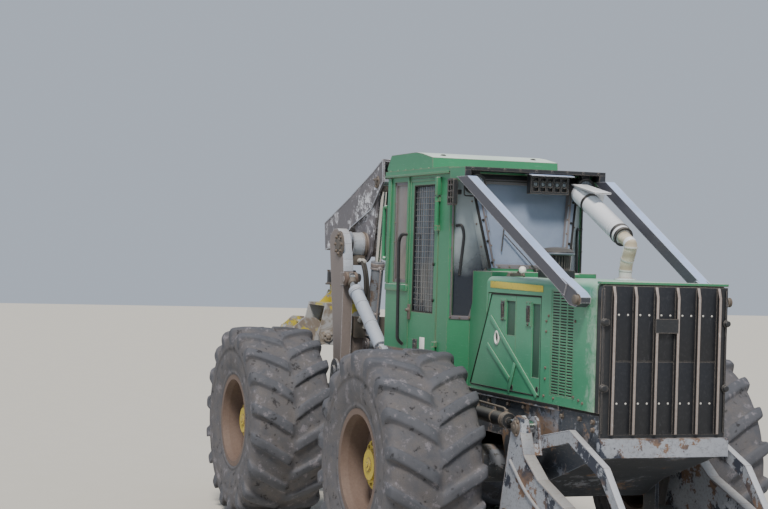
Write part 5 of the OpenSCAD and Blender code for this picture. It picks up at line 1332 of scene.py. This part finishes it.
# Seat: sewn pads swollen by simulated pressure, on a bellows pedestal
def softPad(name, low, high, cap):
    pad = block(low, high)
    bpy.ops.object.transform_apply(location=True, rotation=True, scale=True)
    bevel = pad.modifiers.new("corners", "BEVEL")
    bevel.width = 0.045
    bevel.segments = 4
    bpy.ops.object.modifier_apply(modifier=bevel.name)
    pad.data.remesh_voxel_size = 0.014
    bpy.ops.object.voxel_remesh()
    before = [vertex.co.copy() for vertex in pad.data.vertices]
    swell = pad.modifiers.new("swell", "CLOTH")
    swell.settings.use_pressure = True
    swell.settings.uniform_pressure_force = 4
    swell.settings.effector_weights.gravity = 0
    swell.point_cache.frame_end = 20
    for step in range(1, 21):
        bpy.context.scene.frame_set(step)
    onlySelect(pad)
    bpy.ops.object.modifier_apply(modifier=swell.name)
    bpy.context.scene.frame_set(1)
    for vertex, old in zip(pad.data.vertices, before):
        move = vertex.co - old
        if move.length > cap:
            vertex.co = old + move.normalized() * cap
    smooth = pad.modifiers.new("smooth", "SUBSURF")
    smooth.levels = 1
    bpy.ops.object.modifier_apply(modifier=smooth.name)
    finishPiece(pad, name, seatCloth, smooth=80)
    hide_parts("seat")
    return pad


softPad("seat_cushion", (-1482, -228, 1868), (-978, 228, 1962), 0.018)
softPad("seat_back", (-1584, -220, 1972), (-1486, 220, 2380), 0.016)
softPad("seat_headrest", (-1576, -150, 2408), (-1494, 150, 2542), 0.016)
pedestal = turned((-1270, 0, 1506), (-1270, 0, 1850),
                  [(0, 190), (20, 190), (24, 160), (60, 185), (96, 160), (132, 185), (168, 160), (204, 185),
                  (240, 160), (276, 185), (300, 185), (304, 215), (344, 215)], 32)
stalks = [bar((-1535, y, 2350), (-1535, y, 2430), 14, 14) for y in (-70, 70)]
finishPiece([pedestal] + stalks, "seat_pedestal", blackEnamel, edge=2)
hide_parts("seat")
armrests = []
for y in (-285, 285):
    armrests.append(bar((-1420, y, 2120), (-1120, y, 2140), 80, 60))
    armrests.append(bar((-1440, y * 0.9, 1930), (-1400, y, 2110), 40, 30))
    armrests.append(turned((-1130, y, 2150), (-1120, y, 2290),
                           [(0, 34), (30, 34), (34, 14), (74, 16), (90, 24), (120, 26), (138, 12)], 20))
finishPiece(armrests, "armrests", blackEnamel, edge=10)
dash = [block((-712, -262, 2322), (-458, 262, 2352)), bar((-700, -240, 2362), (-500, -240, 2362), 30, 20),
        bar((-600, 150, 2352), (-600, 150, 2440), 120, 60)]
dials = [turned((-640, y, 2350), (-648, y, 2372), [(0, 34), (10, 34), (16, 28), (18, 26)], 24) for y in (-90, 0, 90)]
finishPiece(dash + dials, "dash_top", blackEnamel, edge=8)
print("cab inside ready")

# Grapple: pin caps, wear strips along the tongs' backs, head gussets, rotator bolts
tipX, pinZ = -4940, 1640
caps = []
for s in (-1, 1):
    for y in (-230, 230):
        caps.append(turned((tipX + s * 286, y, pinZ), (tipX + s * 322, y, pinZ),
                           [(0, 66), (8, 66), (10, 56), (20, 52), (20, 26), (34, 22)], 28))
heads = copyTo(boltModel(22, 14), [((tipX + s * 300, y + 42 * math.cos(a), pinZ + 42 * math.sin(a)), (s, 0, 0))
                                   for s in (-1, 1) for y in (-230, 230) for a in (0.6, 2.7, 4.8)])
gussets = [plateFrom([(tipX + s * 100, y, 1986), (tipX + s * 270, y, 1986), (tipX + s * 100, y, 2120)], (0, 20, 0))
           for s in (-1, 1) for y in (-110, 90)]
gussets += [plateFrom([(tipX - 10, s * 110, 1986), (tipX - 10, s * 245, 1986), (tipX - 10, s * 110, 2120)], (20, 0, 0))
            for s in (-1, 1)]
finishPiece(caps + [heads] + gussets, "grapple_pin_caps", grapplePaint, body="grapple_head", edge=2)
ring = turned((tipX, 0, 2172), (tipX, 0, 2200), [(0, 168), (16, 168), (18, 158), (28, 154)], 44)
ringBolts = bolts(24, 15, ringOf((tipX, 0, 2312), 142, evenly(12), 2), (0, 0, 1))
motor = turned((tipX, 100, 2250), (tipX, 210, 2250), [(0, 58), (60, 58), (62, 48), (100, 46), (110, 40)], 28)
finishPiece([ring, ringBolts, motor], "rotator_fittings", castIron, body="rotator", edge=1.5)
tongBack = [(570, 1740), (700, 1500), (770, 1200), (750, 900), (640, 650), (430, 430), (200, 300)]
for side, hand in hands:
    strips = [bar((tipX + dx, side * ya, za), (tipX + dx, side * yb, zb), 26, 14)
              for dx in (-214, 214) for (ya, za), (yb, zb) in zip(tongBack, tongBack[1:])]
    tip = plateFrom([(tipX - 220, side * 4, 246), (tipX - 220, side * 210, 296), (tipX + 220, side * 210, 296),
                     (tipX + 220, side * 4, 246)], (0, 0, -12))
    finishPiece(strips + [tip], "tong_wear_strips_" + hand, wornSteel, body="tong_" + hand, edge=3)
print("grapple ready")

# Rear frame: tower bolts, winch-deck plate ribs, hitch pin and axle flanges
for side, hand in hands:
    towerBolts = bolts(30, 20, [(x, side * 405, z) for x in (-3260, -3000, -2760) for z in (1230, 1130)], (0, side, 0))
    finishPiece(towerBolts, "rear_frame_bolts_" + hand, castIron, body="rear")
    weldRibs = [bar((x, side * 408, 720), (x, side * 408, 1140), 16, 8) for x in (-2650, -2950)]
    weldRibs += [bar((-2280, side * 408, 1288), (-2960, side * 408, 1288), 20, 16)]
    finishPiece(weldRibs, "rear_frame_ribs_" + hand, chassisPaint, body="rear", edge=3)
hitchX = -4090
hitch = turned((hitchX, 0, 752), (hitchX, 0, 830), [(0, 26), (30, 26), (32, 40), (52, 40), (56, 18), (78, 16)], 24)
ring = tube([(hitchX, -50, 840), (hitchX, -40, 880), (hitchX, 40, 880), (hitchX, 50, 840)], 7, bend=30)
finishPiece([hitch, ring], "hitch_pin", wornSteel, body="rear", edge=1)
for corner, side, x, body in wheels:
    drum = boss(side, x, axleZ, 560, 640, [(0, 170), (10, 196), (40, 200), (70, 196), (80, 176)], 36)
    finishPiece(drum, "axle_flange_" + corner, castIron, body=body, edge=2)
print("rear frame ready")
